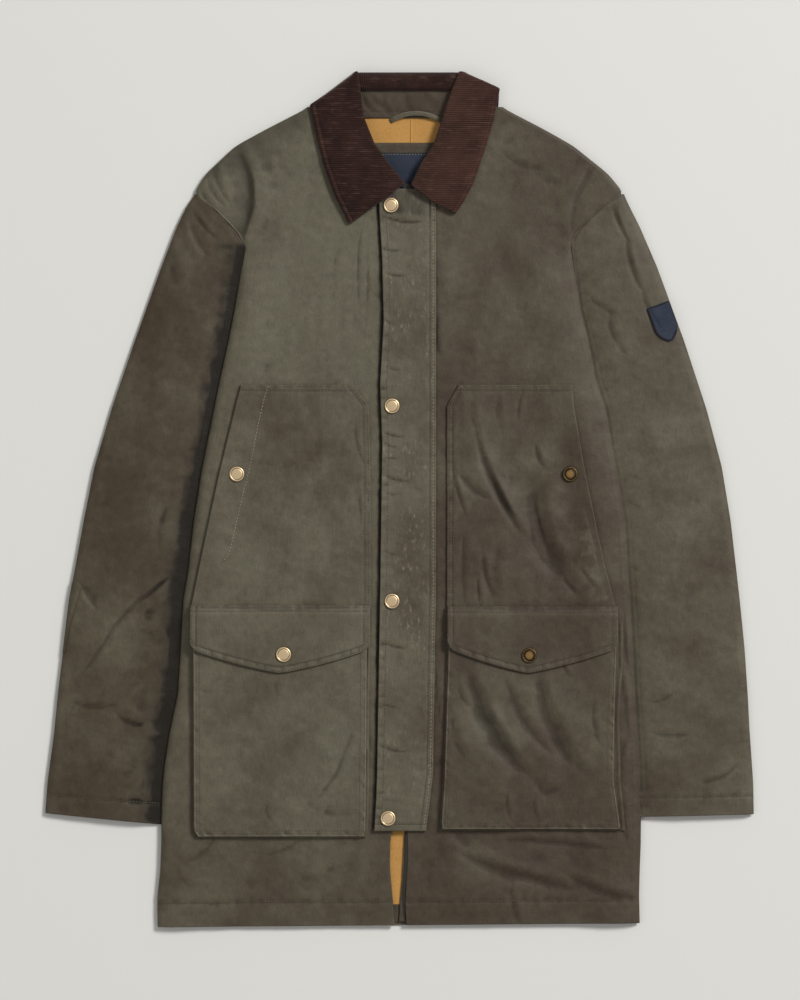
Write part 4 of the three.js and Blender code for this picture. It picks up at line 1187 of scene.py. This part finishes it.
def under_sleeve(side):
    cut = sleeve_cut(side, COARSE)
    outer, inner = (cut.left, cut.right) if side == "left" else (cut.right, cut.left)
    high = sleeve_fold(side, cut.x, cut.row) - SEAM / 2
    curl = np.maximum(quarter(outer, FOLD_RADIUS), quarter(inner, 4))
    cut.z = (high - 0.1) * curl
    worn = "right" if side == "left" else "left"
    cloth(f"sleeve_under_{worn}_cloth", cut, CLOTH, WAXED[f"sleeve_{side}"],
          [f"sleeve_under_{worn}"], floor=high, under=True, wear=0 * cut.z)


def storm_flap():
    """The placket, whose free left edge stands up from the front"""
    cut = table_cut(PLACKET, FINE)
    stand = 2.6 * np.exp(-cut.left / 22) + 0.5
    z = PLACKET_TOP + stand + creases(PLACKET_CREASES, cut.x, cut.y)
    z = z + unevenness(cut.x, cut.y, 23, 0.7) - 0.9 * quarter(cut.sides(), 1.4)
    z = z + groove(cut.right, 6.4, 0.45) + groove(cut.right, 2.4, 0.3) + groove(cut.low, 7.4, 0.5)
    cut.z = z + pucker(cut.y, cut.left, 25, 0.55) + pucker(cut.y, cut.right, 26, 0.35)
    wear = 0.9 * raised(cut.z) + 0.8 * quarter(cut.left, 4) + 0.4 * quarter(cut.right, 3)
    # Painted shade across the flap's top, under the collar.
    wear = wear - 0.6 * smooth((cut.row - 298) / 14)
    cloth("storm_flap_cloth", cut, DOUBLED_CLOTH, WAXED["placket"],
          ["storm_flap"], floor=FRONT_TOP + 0.1, wear=wear)


def hand_warmer(side):
    """A flat patch whose slanting outer edge is open"""
    cut = table_cut(HAND_WARMER[side], FINE)
    below = body_surface(cut.x, cut.y)
    opened, sewn = (cut.left, cut.right) if side == "left" else (cut.right, cut.left)
    z = below + SEAM + CLOTH + 0.9 + creases(HAND_WARMER_CREASES, cut.x, cut.y)
    z = z + 1.1 * np.exp(-opened / 14) + unevenness(cut.x, cut.y, 33, 0.7)
    z = z - 0.8 * quarter(cut.sides(), EDGE_RADIUS)
    z = z + groove(cut.high, 6.4, 0.5) + groove(sewn, 6.4, 0.5) + groove(cut.high, 1.6, 0.2)
    z = z + gathers(cut.x, cut.high, 37, 0.4) + gathers(cut.y, sewn, 38, 0.35)
    cut.z = np.maximum(z + pucker(cut.x, cut.high, 35) + pucker(cut.y, sewn, 36), below + 0.6)
    worn = "right" if side == "left" else "left"
    wear = 0.75 * raised(cut.z) + 0.5 * quarter(cut.high, 2.5) + 0.5 * quarter(sewn, 2.5)
    wear = wear + 0.6 * quarter(opened, 2.5)
    # A painted highlight beside the fold down the right patch.
    if side == "right":
        wear = wear + 0.5 * shade_beside(LIT_FOLD, cut.x, cut.y, 30)
    cloth(f"hand_warmer_{worn}_cloth", cut, CLOTH, WAXED[f"patch_{side}"],
          [f"hand_warmer_{worn}"], floor=below + 0.15, wear=wear)


def pocket_surface(x, y):
    return POCKET_TOP + 0.8 + 0.8 * fullness(x, y) + creases(POCKET_CREASES, x, y) + unevenness(x, y, 43, 0.9)


def bellows_pocket(side):
    cut = table_cut(POCKET[side], FINE)
    surface = pocket_surface(cut.x, cut.y)
    low = body_surface(cut.x, cut.y) + 0.15
    rounded = np.minimum(np.minimum(cut.left, cut.right), cut.low)
    rim = 0.45 * np.exp(-((rounded - 0.9) / 0.8) ** 2)
    z = surface + rim - 2.6 * quarter(rounded, POCKET_RADIUS) + groove(rounded, 2.4, 0.4)
    z = z + pucker(cut.x + cut.y, rounded, 45, 0.5) + gathers(cut.x, cut.low, 46, 0.6)
    cut.z = np.maximum(z, low + 0.8)
    worn = "right" if side == "left" else "left"
    wear = 0.75 * raised(cut.z) + 0.7 * np.exp(-((rounded - 0.9) / 1.1) ** 2)
    cloth(f"bellows_pocket_{worn}_cloth", cut, CLOTH, WAXED[f"patch_{side}"],
          [f"bellows_pocket_{worn}"], floor=low, wear=wear,
          going=[gusset(side)])


# How far a pocket's gusset stands out beyond its front, at the left, right and lower edges
GUSSET = {"left": (0.6, 3.0, 1.2), "right": (1.2, 6.4, 1.6)}


def gusset(side):
    """The folded side of a bellows pocket, seen as a second edge under the pocket's front"""
    out_left, out_right, out_low = GUSSET[side]
    table = POCKET[side]
    wavy = 1.1 if side == "right" else 0.3

    def right_edge(y):
        return edge(table, 2, y, 2) + out_right + wavy * np.sin((y + 200) / 21)

    cut = Cut(lambda y: edge(table, 1, y, 2) - out_left, right_edge,
              table[0, 0] - out_low, table[-1, 0] - 4, MIDDLING)
    low = body_surface(cut.x, cut.y) + 0.15
    cut.z = low + 2.6 - 1.2 * quarter(cut.sides(), EDGE_RADIUS)
    cut.z = cut.z - 1.8 * smooth((cut.right - 2.6) / 2) * (0.7 if side == "right" else 0.3)
    worn = "right" if side == "left" else "left"
    piece = shell(f"pocket_gusset_{worn}_cloth", (cut.x, cut.y, cut.z),
                  (cut.x, cut.y, low), WAXED[f"patch_{side}"], 0.8 * quarter(cut.sides(), 2))
    return piece


def pocket_flap(side):
    """A flap with soft corners and a blunt point"""
    left, right, top, corner, point, point_x = FLAP[side]
    cut = Cut(lambda y: 0 * y + left, lambda y: 0 * y + right, 0, 1, FINE,
              ys=across(np.array([60.0]), 60, FINE)[0] / 60)
    far = np.where(cut.x < point_x, left, right)
    slope = np.abs(cut.x - point_x) / np.abs(far - point_x)
    low_edge = blend(point, corner, np.sqrt(slope ** 2 + 0.0009) - 0.03)
    low_edge = low_edge - 2.2 * np.sin(math.pi * slope) + 9 * quarter(cut.left, 9)
    low_edge = low_edge + 9 * quarter(cut.right, 9)
    cut.y = blend(low_edge, top, cut.y)
    cut.low = (cut.y - low_edge) * 0.96
    cut.high = top - cut.y
    cut.row = cut.y
    rise = smooth((top - cut.y) / 10)
    surface = pocket_surface(cut.x, cut.y) + SEAM + DOUBLED_CLOTH + 0.5
    z = blend(PATCH_TOP + 2.2 + DOUBLED_CLOTH + fullness(cut.x, cut.y), surface, rise)
    free = np.minimum(np.minimum(cut.left, cut.right), cut.low)
    z = z + 0.9 * np.exp(-cut.low / 12) - 0.9 * quarter(free, 1.2)
    z = z + groove(free, 6.4, 0.5, 1.1) + groove(cut.high, 6.4, 0.5)
    cut.z = z + pucker(cut.x, cut.high, 55, 0.2) + gathers(cut.x, cut.low, 56, 0.7)
    worn = "right" if side == "left" else "left"
    name = f"pocket_flap_{worn}_cloth"
    wear = 0.75 * raised(cut.z) + 0.7 * quarter(free, 2.5)
    piece = shell(name, (cut.x, cut.y, cut.z), (cut.x, cut.y, cut.z - 1.5),
                  WAXED[f"patch_{side}"], wear)
    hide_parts(f"pocket_flap_{worn}")
    CUTS[name] = cut


def leaf_floor(y):
    shoulder = FRONT_TOP + lift(y) * 0.4 + SEAM + 0.6
    return np.where(y < NECK_POINT + 2, shoulder, COLLAR_LIFT + SEAM)


def collar_leaf(side):
    """A corduroy leaf: level wales, a stitched outer edge, and a turn under at the back"""
    table = LEAF[side]
    low, high = table[0, 0], table[-1, 0]
    is_left = side == "left"
    wales = round((high - low) / WALE_PITCH)
    ys = np.linspace(low, high, wales * WALE_SAMPLES + 1)
    cut = Cut(lambda y: edge(table, 1, y, 1.5), lambda y: edge(table, 2, y, 1.5), low, high,
              7, ys=ys)
    roll, turn = (cut.right, cut.left) if is_left else (cut.left, cut.right)
    rise = ROLL_RISE * smooth((cut.y - low) / (LEAF_FRONT[side] - low))
    near = 1 - roll / (cut.left + cut.right)
    surface = LEAF_REST + CORDUROY + 0.8 + rise * near + 0.5 * ripples(cut.x, cut.y, 38, 61)
    surface = surface + 0.5 * creases(LEAF_CREASES, cut.x, cut.y)
    turned = np.clip((cut.y - LEAF_TURN[side]) / 12, 0, 1)
    turn_edge = blend(surface - 1.4, COLLAR_LIFT + SEAM + 1 + 0 * surface, turned)
    drop = 1.6 * quarter(roll, 3.4)
    drop = np.where(turn < roll, (surface - turn_edge) * quarter(turn, 3 + 4 * turned), drop)
    ribs = wale(cut.y - low)
    front_edge = np.where(cut.y < LEAF_FRONT[side], roll, 99)
    plain_rim = smooth((np.minimum(turn, front_edge) - 0.8) / 1.2)
    seam = groove(turn, 6.4, 0.7, 0.9) + groove(front_edge, 6.4, 0.35, 0.9)
    puffed = 0.4 * np.exp(-((turn - 3.4) / 1.8) ** 2)
    cut.z = surface - drop - WALE_DEPTH * (1 - ribs) * plain_rim + seam + puffed
    worn = "right" if is_left else "left"
    # Painted shade in the wales' valleys, and a painted highlight along the turned edge and the ridge beside its
    # stitching.
    shade = ribs + 0.5 * np.exp(-((turn - 4.4) / 1.2) ** 2) + 0.5 * quarter(turn, 1.6)
    floor = np.minimum(np.maximum(leaf_floor(cut.y), cut.z - CORDUROY), cut.z - 0.9)
    cloth(f"collar_leaf_{worn}_cord", cut, CORDUROY, CORD[side],
          [f"collar_leaf_{worn}"],
          floor=floor, wear=shade)


ROLL_FRONT = 441.7
ROLL_BACK = 461.7
ROLL_ENDS = {"left": (-46, -48), "right": (60, 67.5)}
# y and height of the roll's outside, from its front edge over the top to the fall
ROLL_SECTION = np.array([
    (0, 13.4), (3, 14.0), (6, 14.4), (9, 14.6), (12, 14.4), (15, 13.5), (17, 12.0),
    (18.7, 10), (19.7, 8), (20, 6.3), (19.2, 3.6),
])


def collar_roll():
    """The strip at the back of the neck, with its wales across the roll"""
    wales = round((ROLL_ENDS["right"][1] - ROLL_ENDS["left"][1]) / WALE_PITCH)
    count = wales * WALE_SAMPLES + 1
    across_share = np.linspace(0, 1, count)
    y, z = [np.repeat(c[:, None], count, 1) for c in (ROLL_FRONT + ROLL_SECTION[:, 0],
                                                      ROLL_SECTION[:, 1])]
    t = np.clip((y - ROLL_FRONT) / (ROLL_BACK - ROLL_FRONT), 0, 1)
    left = blend(*ROLL_ENDS["left"], t)
    right = blend(*ROLL_ENDS["right"], t)
    x = blend(left, right, across_share)
    ribs = wale(x - left[:, :1])
    outward = np.gradient(z, axis=0), np.gradient(y, axis=0)
    size = np.hypot(*outward)
    nz, ny = outward[1] / size, -outward[0] / size
    depth = WALE_DEPTH * (1 - ribs)
    upper = (x, y - ny * depth, z - nz * depth)
    inner_z = np.maximum(z - nz * 2.2, CORDUROY + SEAM)
    lower = (x, y - ny * 2.2, inner_z)
    # The wales' ribs feed the painted shade in their valleys.
    piece = shell("collar_roll_cord", upper, lower, CORD["left"], ribs, 1)
    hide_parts("collar_roll")


def collar_fall():
    cut = table_cut(COLLAR_FALL, COARSE)
    cut.z = 0.5 * quarter(cut.sides(), 2)
    # The fall takes a middle share of the wales' painted valley shade all over.
    cloth("collar_fall_cord", cut, CORDUROY, CORD["left"], ["collar_fall"], under=True,
          floor=CORDUROY - 0.4 * quarter(cut.sides(), 2), wear=0.6 + 0 * cut.z)


STAND_FOOT = 412
STAND_CREASES = [
    (-38, 436, -26, 420, 1, 3, 2.0), (-30, 438, -14, 424, 1, 3, 1.8),
    (-16, 436, -6, 416, 1, 4, 1.4), (10, 438, 18, 418, 1, 5, 1.2), (30, 440, 42, 424, 1, 3, 1.6),
]


def collar_stand(loop):
    rows = np.array([(STAND_FOOT, -45, 53), (427, -47, 58), (ROLL_FRONT + 4, -48, 63)])
    cut = table_cut(rows, 3)
    foot = LINING_TOP + COLLAR_LIFT + SEAM + CLOTH
    cut.z = blend(foot, 10.4, smooth((cut.y - STAND_FOOT) / (ROLL_FRONT + 4 - STAND_FOOT)))
    cut.z = cut.z + unevenness(cut.x, cut.y, 91, 0.7) + creases(STAND_CREASES, cut.x, cut.y) - 0.6 * quarter(cut.low, 1.5)
    cut.z = cut.z + groove(cut.low, 6.4, 0.3)
    cloth("collar_stand_cloth", cut, CLOTH, WAXED["stand"],
          ["collar_stand"], wear=0.3 * quarter(cut.low, 2),
          going=[loop])


def neck_patch(name, node, rows, material):
    cut = table_cut(np.array(rows, dtype=float), 3)
    cut.z = LINING_TOP + SEAM + TRIM + lift(cut.y) - 0.3 * quarter(cut.sides(), 1)
    cut.z = cut.z + 0.12 * ripples(cut.x, cut.y, 14, 95)
    cloth(name, cut, TRIM, material, [node],
          wear=0 * cut.z)


def tape_along(path, half_width, rows=7):
    """A grid across a tape whose middle is path, x, y, z"""
    along = np.gradient(path, axis=0)
    side = np.column_stack([-along[:, 1], along[:, 0]])
    side /= np.linalg.norm(side, axis=1)[:, None]
    offsets = np.linspace(-half_width, half_width, rows)
    x = path[:, 0] + side[:, 0] * offsets[:, None]
    y = path[:, 1] + side[:, 1] * offsets[:, None]
    z = np.repeat(path[None, :, 2], rows, 0)
    return x, y, z, np.repeat(offsets[:, None], len(path), 1)


def hanger_loop():
    t = np.linspace(0, 1, 49)
    ends = np.array([(-10, 408.5), (17.5, 425.5), (46, 408.5)])
    weights = np.column_stack([(1 - t) ** 2, 2 * t * (1 - t), t ** 2])
    flat = weights @ ends
    height = LINING_TOP + COLLAR_LIFT + 0.9 + 4.0 * np.sin(math.pi * t) ** 0.6
    x, y, z, off = tape_along(np.column_stack([flat, height]), 2.5, 9)
    z = z + 0.5 * (1 - (off / 2.5) ** 2)
    # The loop's edges take a painted highlight.
    piece = shell("hanger_loop_tape", (x, y, z), (x, y, z - TRIM), WAXED["placket"],
                  0.9 * smooth((np.abs(off) - 1.2) / 1))
    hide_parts("hanger_loop")
    return piece


# y, left edge, right edge of the fly facing beside the zip, and of the zip's tape
FLY_FACING = np.array([
    (-456, -0.8, 12), (-446, 0.1, 12), (-433, 0.5, 12), (-411, 2.7, 14), (-378, 4.4, 16),
    (-356, 5.5, 16), (-335, 5.5, 16),
])
ZIP_TAPE = np.array([
    (-458, 5.7, 14), (-448, 4.2, 14), (-435, 2.9, 14), (-421, 3.1, 14), (-400, 4.6, 16),
    (-388, 5.2, 16), (-372, 5.6, 18), (-350, 5.9, 20), (-300, 6.2, 20), (330, 5.8, 20), (336, 3, 14), (341, 4.5, 10),
])


def fly_facing():
    cut = table_cut(FLY_FACING, MIDDLING)
    cut.z = 5.0 - 0.6 * quarter(cut.sides(), 1.4) + 0.15 * ripples(cut.x, cut.y, 9, 99)
    piece = shell("fly_facing_cloth", (cut.x, cut.y, cut.z), (cut.x, cut.y, cut.z - 1),
                  WAXED["back"], 0.4 * quarter(cut.left, 1.5))
    return piece


def zip_tape():
    cut = table_cut(ZIP_TAPE, MIDDLING)
    cut.z = 5.6 - 0.5 * quarter(cut.sides(), 1) + 4.3 * smooth((cut.y - 318) / 14)
    cloth("zip_tape_cloth", cut, TRIM, TAPE, ["zip_tape"],
          wear=0 * cut.z, going=[fly_facing()])


def lining_pleat():
    """The pressed fold down the middle of the lining, below the collar's stand"""
    cut = Cut(lambda y: 12.2 + 0 * y, lambda y: 13.8 + 0 * y, 384, STAND_FOOT + 2, COARSE)
    cut.z = LINING_TOP + COLLAR_LIFT + 0.7 - 0.4 * cut.left / 1.6
    piece = shell("lining_pleat_cloth", (cut.x, cut.y, cut.z), (cut.x, cut.y, cut.z - 0.8),
                  MUSTARD, 0 * cut.z, 1)


def elbow_patch():
    """What shows of the patch that wraps the outer fold of the left sleeve"""
    cut = Cut(lambda y: -sleeve_outer("left", y) - 0.4, lambda y: edge(ELBOW_PATCH, 1, y, 1),
              ELBOW_PATCH[0, 0], ELBOW_PATCH[-1, 0], 3)
    surface = sleeve_surface("left", cut.x, cut.y)
    low = sleeve_fold("left", cut.x, cut.y)
    drop = quarter(cut.left - 0.4, SLEEVE_RADIUS)
    under = surface - (surface - low) * drop
    cut.z = under + 1.6 - 0.5 * quarter(cut.sides(), 0.9) + groove(cut.right, 2.4, 0.3)
    # A painted shadow line along the patch's free edge, with a lighter line inside it at the stitching.
    cloth("elbow_patch_right_cloth", cut, 1.2, WAXED["sleeve_left"],
          ["elbow_patch_right"],
          wear=0.5 * np.exp(-((cut.right - 2.4) / 1) ** 2) - 1.2 * quarter(cut.right, 1.6))


BADGE = (286, 191)
BADGE_HALF = (12.5, 20.5)
BADGE_TILT = math.radians(20)


def sleeve_patch():
    """A plain shield-like patch: a rounded outline, a raised border and plain bars"""
    u, v = np.meshgrid(np.linspace(-1, 1, 41), np.linspace(-1, 1, 61))
    narrow = np.maximum(0.14, 1 - np.clip((-v - 0.15) / 0.87, 0, 1) ** 2.1) ** 0.75
    px = u * BADGE_HALF[0] * narrow
    py = v * BADGE_HALF[1]
    x = BADGE[0] + px * math.cos(BADGE_TILT) - py * math.sin(BADGE_TILT)
    y = BADGE[1] + px * math.sin(BADGE_TILT) + py * math.cos(BADGE_TILT)
    border = np.minimum((1 - np.abs(u)) * BADGE_HALF[0] * narrow, (1 - np.abs(v)) * BADGE_HALF[1])
    outward = sleeve_outer("right", y) - x
    surface = sleeve_surface("right", x, y)
    fall = (surface - SLEEVE_FOLD - 1) * quarter(outward, FOLD_RADIUS)
    z = surface - fall + 0.45 + TRIM - 0.4 * quarter(border, 0.8)
    z = z + 0.45 * np.exp(-((border - 1.2) / 0.9) ** 2)
    bars = np.abs(np.abs(py + 1) - 6) < 1.4
    z = z + 0.3 * (bars & (np.abs(px) < 6.5 * narrow))
    piece = shell("sleeve_patch_cloth", (x, y, z), (x, y, z - TRIM), NAVY, 0 * z)
    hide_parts("sleeve_patch")
    ring = np.concatenate([np.column_stack([x[0], y[0], z[0]]),
                           np.column_stack([x[:, -1], y[:, -1], z[:, -1]]),
                           np.column_stack([x[-1], y[-1], z[-1]])[::-1],
                           np.column_stack([x[:, 0], y[:, 0], z[:, 0]])[::-1]])
    middle = np.array([x.mean(), y.mean(), z.mean()])
    ring = middle + (ring - middle) * (0.94, 0.96, 1) + (0, 0, 0.5)
    ring = resample(ring, 1.1)
    bx, by, bz, off = tape_along(ring, 1.2, 5)
    bz = bz + 0.5 * (1 - (off / 1.2) ** 2)
    border_piece = shell("sleeve_patch_border_cloth", (bx, by, bz), (bx, by, bz - TRIM),
                         NAVY_EDGE, 0 * bz, 1)


# radius and height of a cap, from its foot over the rim to the plate, and how rubbed it is
# when bright and when darkened
CAP = [
    (0, 0.1, 0, 0), (7.6, 0.1, 0, 0), (8.2, 0.3, 0, 0), (8.3, 0.7, 0.05, 0),
    (8.25, 1.2, 0.15, 0), (8.0, 1.7, 0.5, 0.15), (7.6, 2.1, 0.9, 0.4), (7.1, 2.3, 1, 0.5),
    (6.6, 2.2, 0.8, 0.3), (6.3, 1.95, 0.2, 0), (6.1, 1.85, 0, 0), (5.9, 1.9, 0.3, 0),
    (5.5, 2.1, 0.9, 0.1), (4.7, 2.2, 1, 0.3), (3.9, 2.22, 0.9, 0.5), (2.6, 2.3, 1, 0.8),
    (1.3, 2.34, 1, 0.9), (0, 2.36, 1, 0.9),
]


def snap_caps():
    for name, x, y, carrier in SNAPS:
        cut = CUTS[carrier]
        near = np.hypot(cut.x - x, cut.y - y) < SNAP_RADIUS
        height = np.percentile(cut.z[near], 80)
        dark = name in DARKENED
        piece = lathe(f"snap_{name}_cap", (x, y, height - 0.1), [c[:2] for c in CAP], 56,
                      BRONZE if dark else BRASS, [c[3 if dark else 2] for c in CAP])
        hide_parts(f"snap_{name}")


# x, y along the line that sews the bag of the right hand-warmer pocket to its front
POCKET_BAG = [
    (-141.5, 123), (-145.8, 110.7), (-153.9, 75.6), (-160, 42), (-169, 6), (-176.6, -27.5),
    (-184.2, -59.4), (-190, -66),
]


def stitching():
    body = []
    for worn, side in (("right", "right"), ("left", "left")):
        front_name = f"front_{worn}_cloth"
        body.append(run(front_name, "low", 26))
        warmer = f"hand_warmer_{worn}_cloth"
        body += [run(warmer, "high", i) for i in (1.8, 7.2)]
        body += [run(warmer, side, i) for i in (1.8, 7.2)]
    stitches("fronts_stitching", body, THREAD)
    bag = [on_piece("hand_warmer_right_cloth", POCKET_BAG)]
    stitches("pocket_bag_stitching", bag, PALE_THREAD, 3.6)
    pockets = []
    for worn in ("right", "left"):
        pocket = f"bellows_pocket_{worn}_cloth"
        pockets += [run(pocket, s, 6.8) for s in ("left", "right", "low")]
        flap = f"pocket_flap_{worn}_cloth"
        pockets += [run(flap, s, i) for s in ("left", "right", "low") for i in (1.8, 7.2)]
        pockets.append(run(flap, "high", 6.4))
    stitches("pockets_stitching", pockets, THREAD)
    placket = [run("storm_flap_cloth", "right", 7.2), run("storm_flap_cloth", "left", 7.2)]
    placket.append(run("storm_flap_cloth", "low", 7.2))
    stitches("storm_flap_stitching", placket, THREAD)
    stitches("storm_flap_edge_stitching", [run("storm_flap_cloth", "right", 3.0)], PALE_THREAD,
             3.9)
    stitches("neck_label_stitching", [run("neck_label_cloth", "high", 1.2)], PALE_THREAD,
             3.2, 1.3)
    sleeves = [run(f"sleeve_upper_{worn}_cloth", "low", 22) for worn in ("right", "left")]
    stitches("sleeves_stitching", sleeves, THREAD)


def stage():
    size = 6
    corners = [(-size, -size, -0.0006), (size, -size, -0.0006), (size, size, -0.0006),
               (-size, size, -0.0006)]
    mesh = bpy.data.meshes.new("floor")
    mesh.from_pydata(corners, [], [(0, 1, 2, 3)])
    f = Finish("pale_floor", Roughness=0.9)
    f.shader.inputs["Specular IOR Level"].default_value = 0.1
    f.shader.inputs["Base Color"].default_value = linear(222, 221, 216)
    mesh.materials.append(f.material)
    floor = bpy.data.objects.new("floor", mesh)
    bpy.context.scene.collection.objects.link(floor)


def area_light(name, place, target, size, power, colour=(1, 1, 1)):
    data = bpy.data.lights.new(name, "AREA")
    data.shape = "DISK"
    data.size = size
    data.energy = power
    data.color = colour
    light = bpy.data.objects.new(name, data)
    light.location = place
    direction = np.array(target, dtype=float) - np.array(place, dtype=float)
    light.rotation_euler = Vector(direction).to_track_quat("-Z", "Y").to_euler()
    bpy.context.scene.collection.objects.link(light)


def lights():
    area_light("key", (5.5, 4.5, 6.3), (0, 0, 0), 2.8, 760)
    area_light("fill", (-2.0, -1.2, 2.4), (0, 0, 0), 2.2, 8)
    world = bpy.data.worlds.new("studio")
    world.use_nodes = True
    background = world.node_tree.nodes["Background"]
    background.inputs[0].default_value = (1, 1, 1, 1)
    background.inputs[1].default_value = 0.37
    bpy.context.scene.world = world


def camera():
    data = bpy.data.cameras.new("camera")
    data.sensor_fit = "VERTICAL"
    data.sensor_height = SENSOR
    data.lens = SENSOR * CAMERA_HEIGHT / (IMAGE_HEIGHT * PIXEL)
    data.clip_end = 50
    seen = bpy.data.objects.new("camera", data)
    seen.location = (VIEW_CENTRE[0] * MM, VIEW_CENTRE[1] * MM, (CAMERA_HEIGHT + 8) * MM)
    bpy.context.scene.collection.objects.link(seen)
    bpy.context.scene.camera = seen
    bpy.context.scene.view_settings.view_transform = "Standard"


camera()
lights()
stage()
back()
back_lining()
for seen_side in ("left", "right"):
    hem_facing(seen_side)
    front(seen_side)
    under_sleeve(seen_side)
    upper_sleeve(seen_side)
    hand_warmer(seen_side)
    bellows_pocket(seen_side)
    pocket_flap(seen_side)
    collar_leaf(seen_side)
zip_tape()
storm_flap()
collar_fall()
collar_roll()
collar_stand(hanger_loop())
lining_pleat()
neck_patch("label_backing_cloth", "label_backing",
           [(374.3, -30, 42), (382, -30, 42), (385.5, -30, 42)], WAXED["back"])
neck_patch("neck_label_cloth", "neck_label",
           [(336, -26, 38), (352, -26, 38), (374, -26, 38)], NAVY)
sleeve_patch()
elbow_patch()
snap_caps()
stitching()
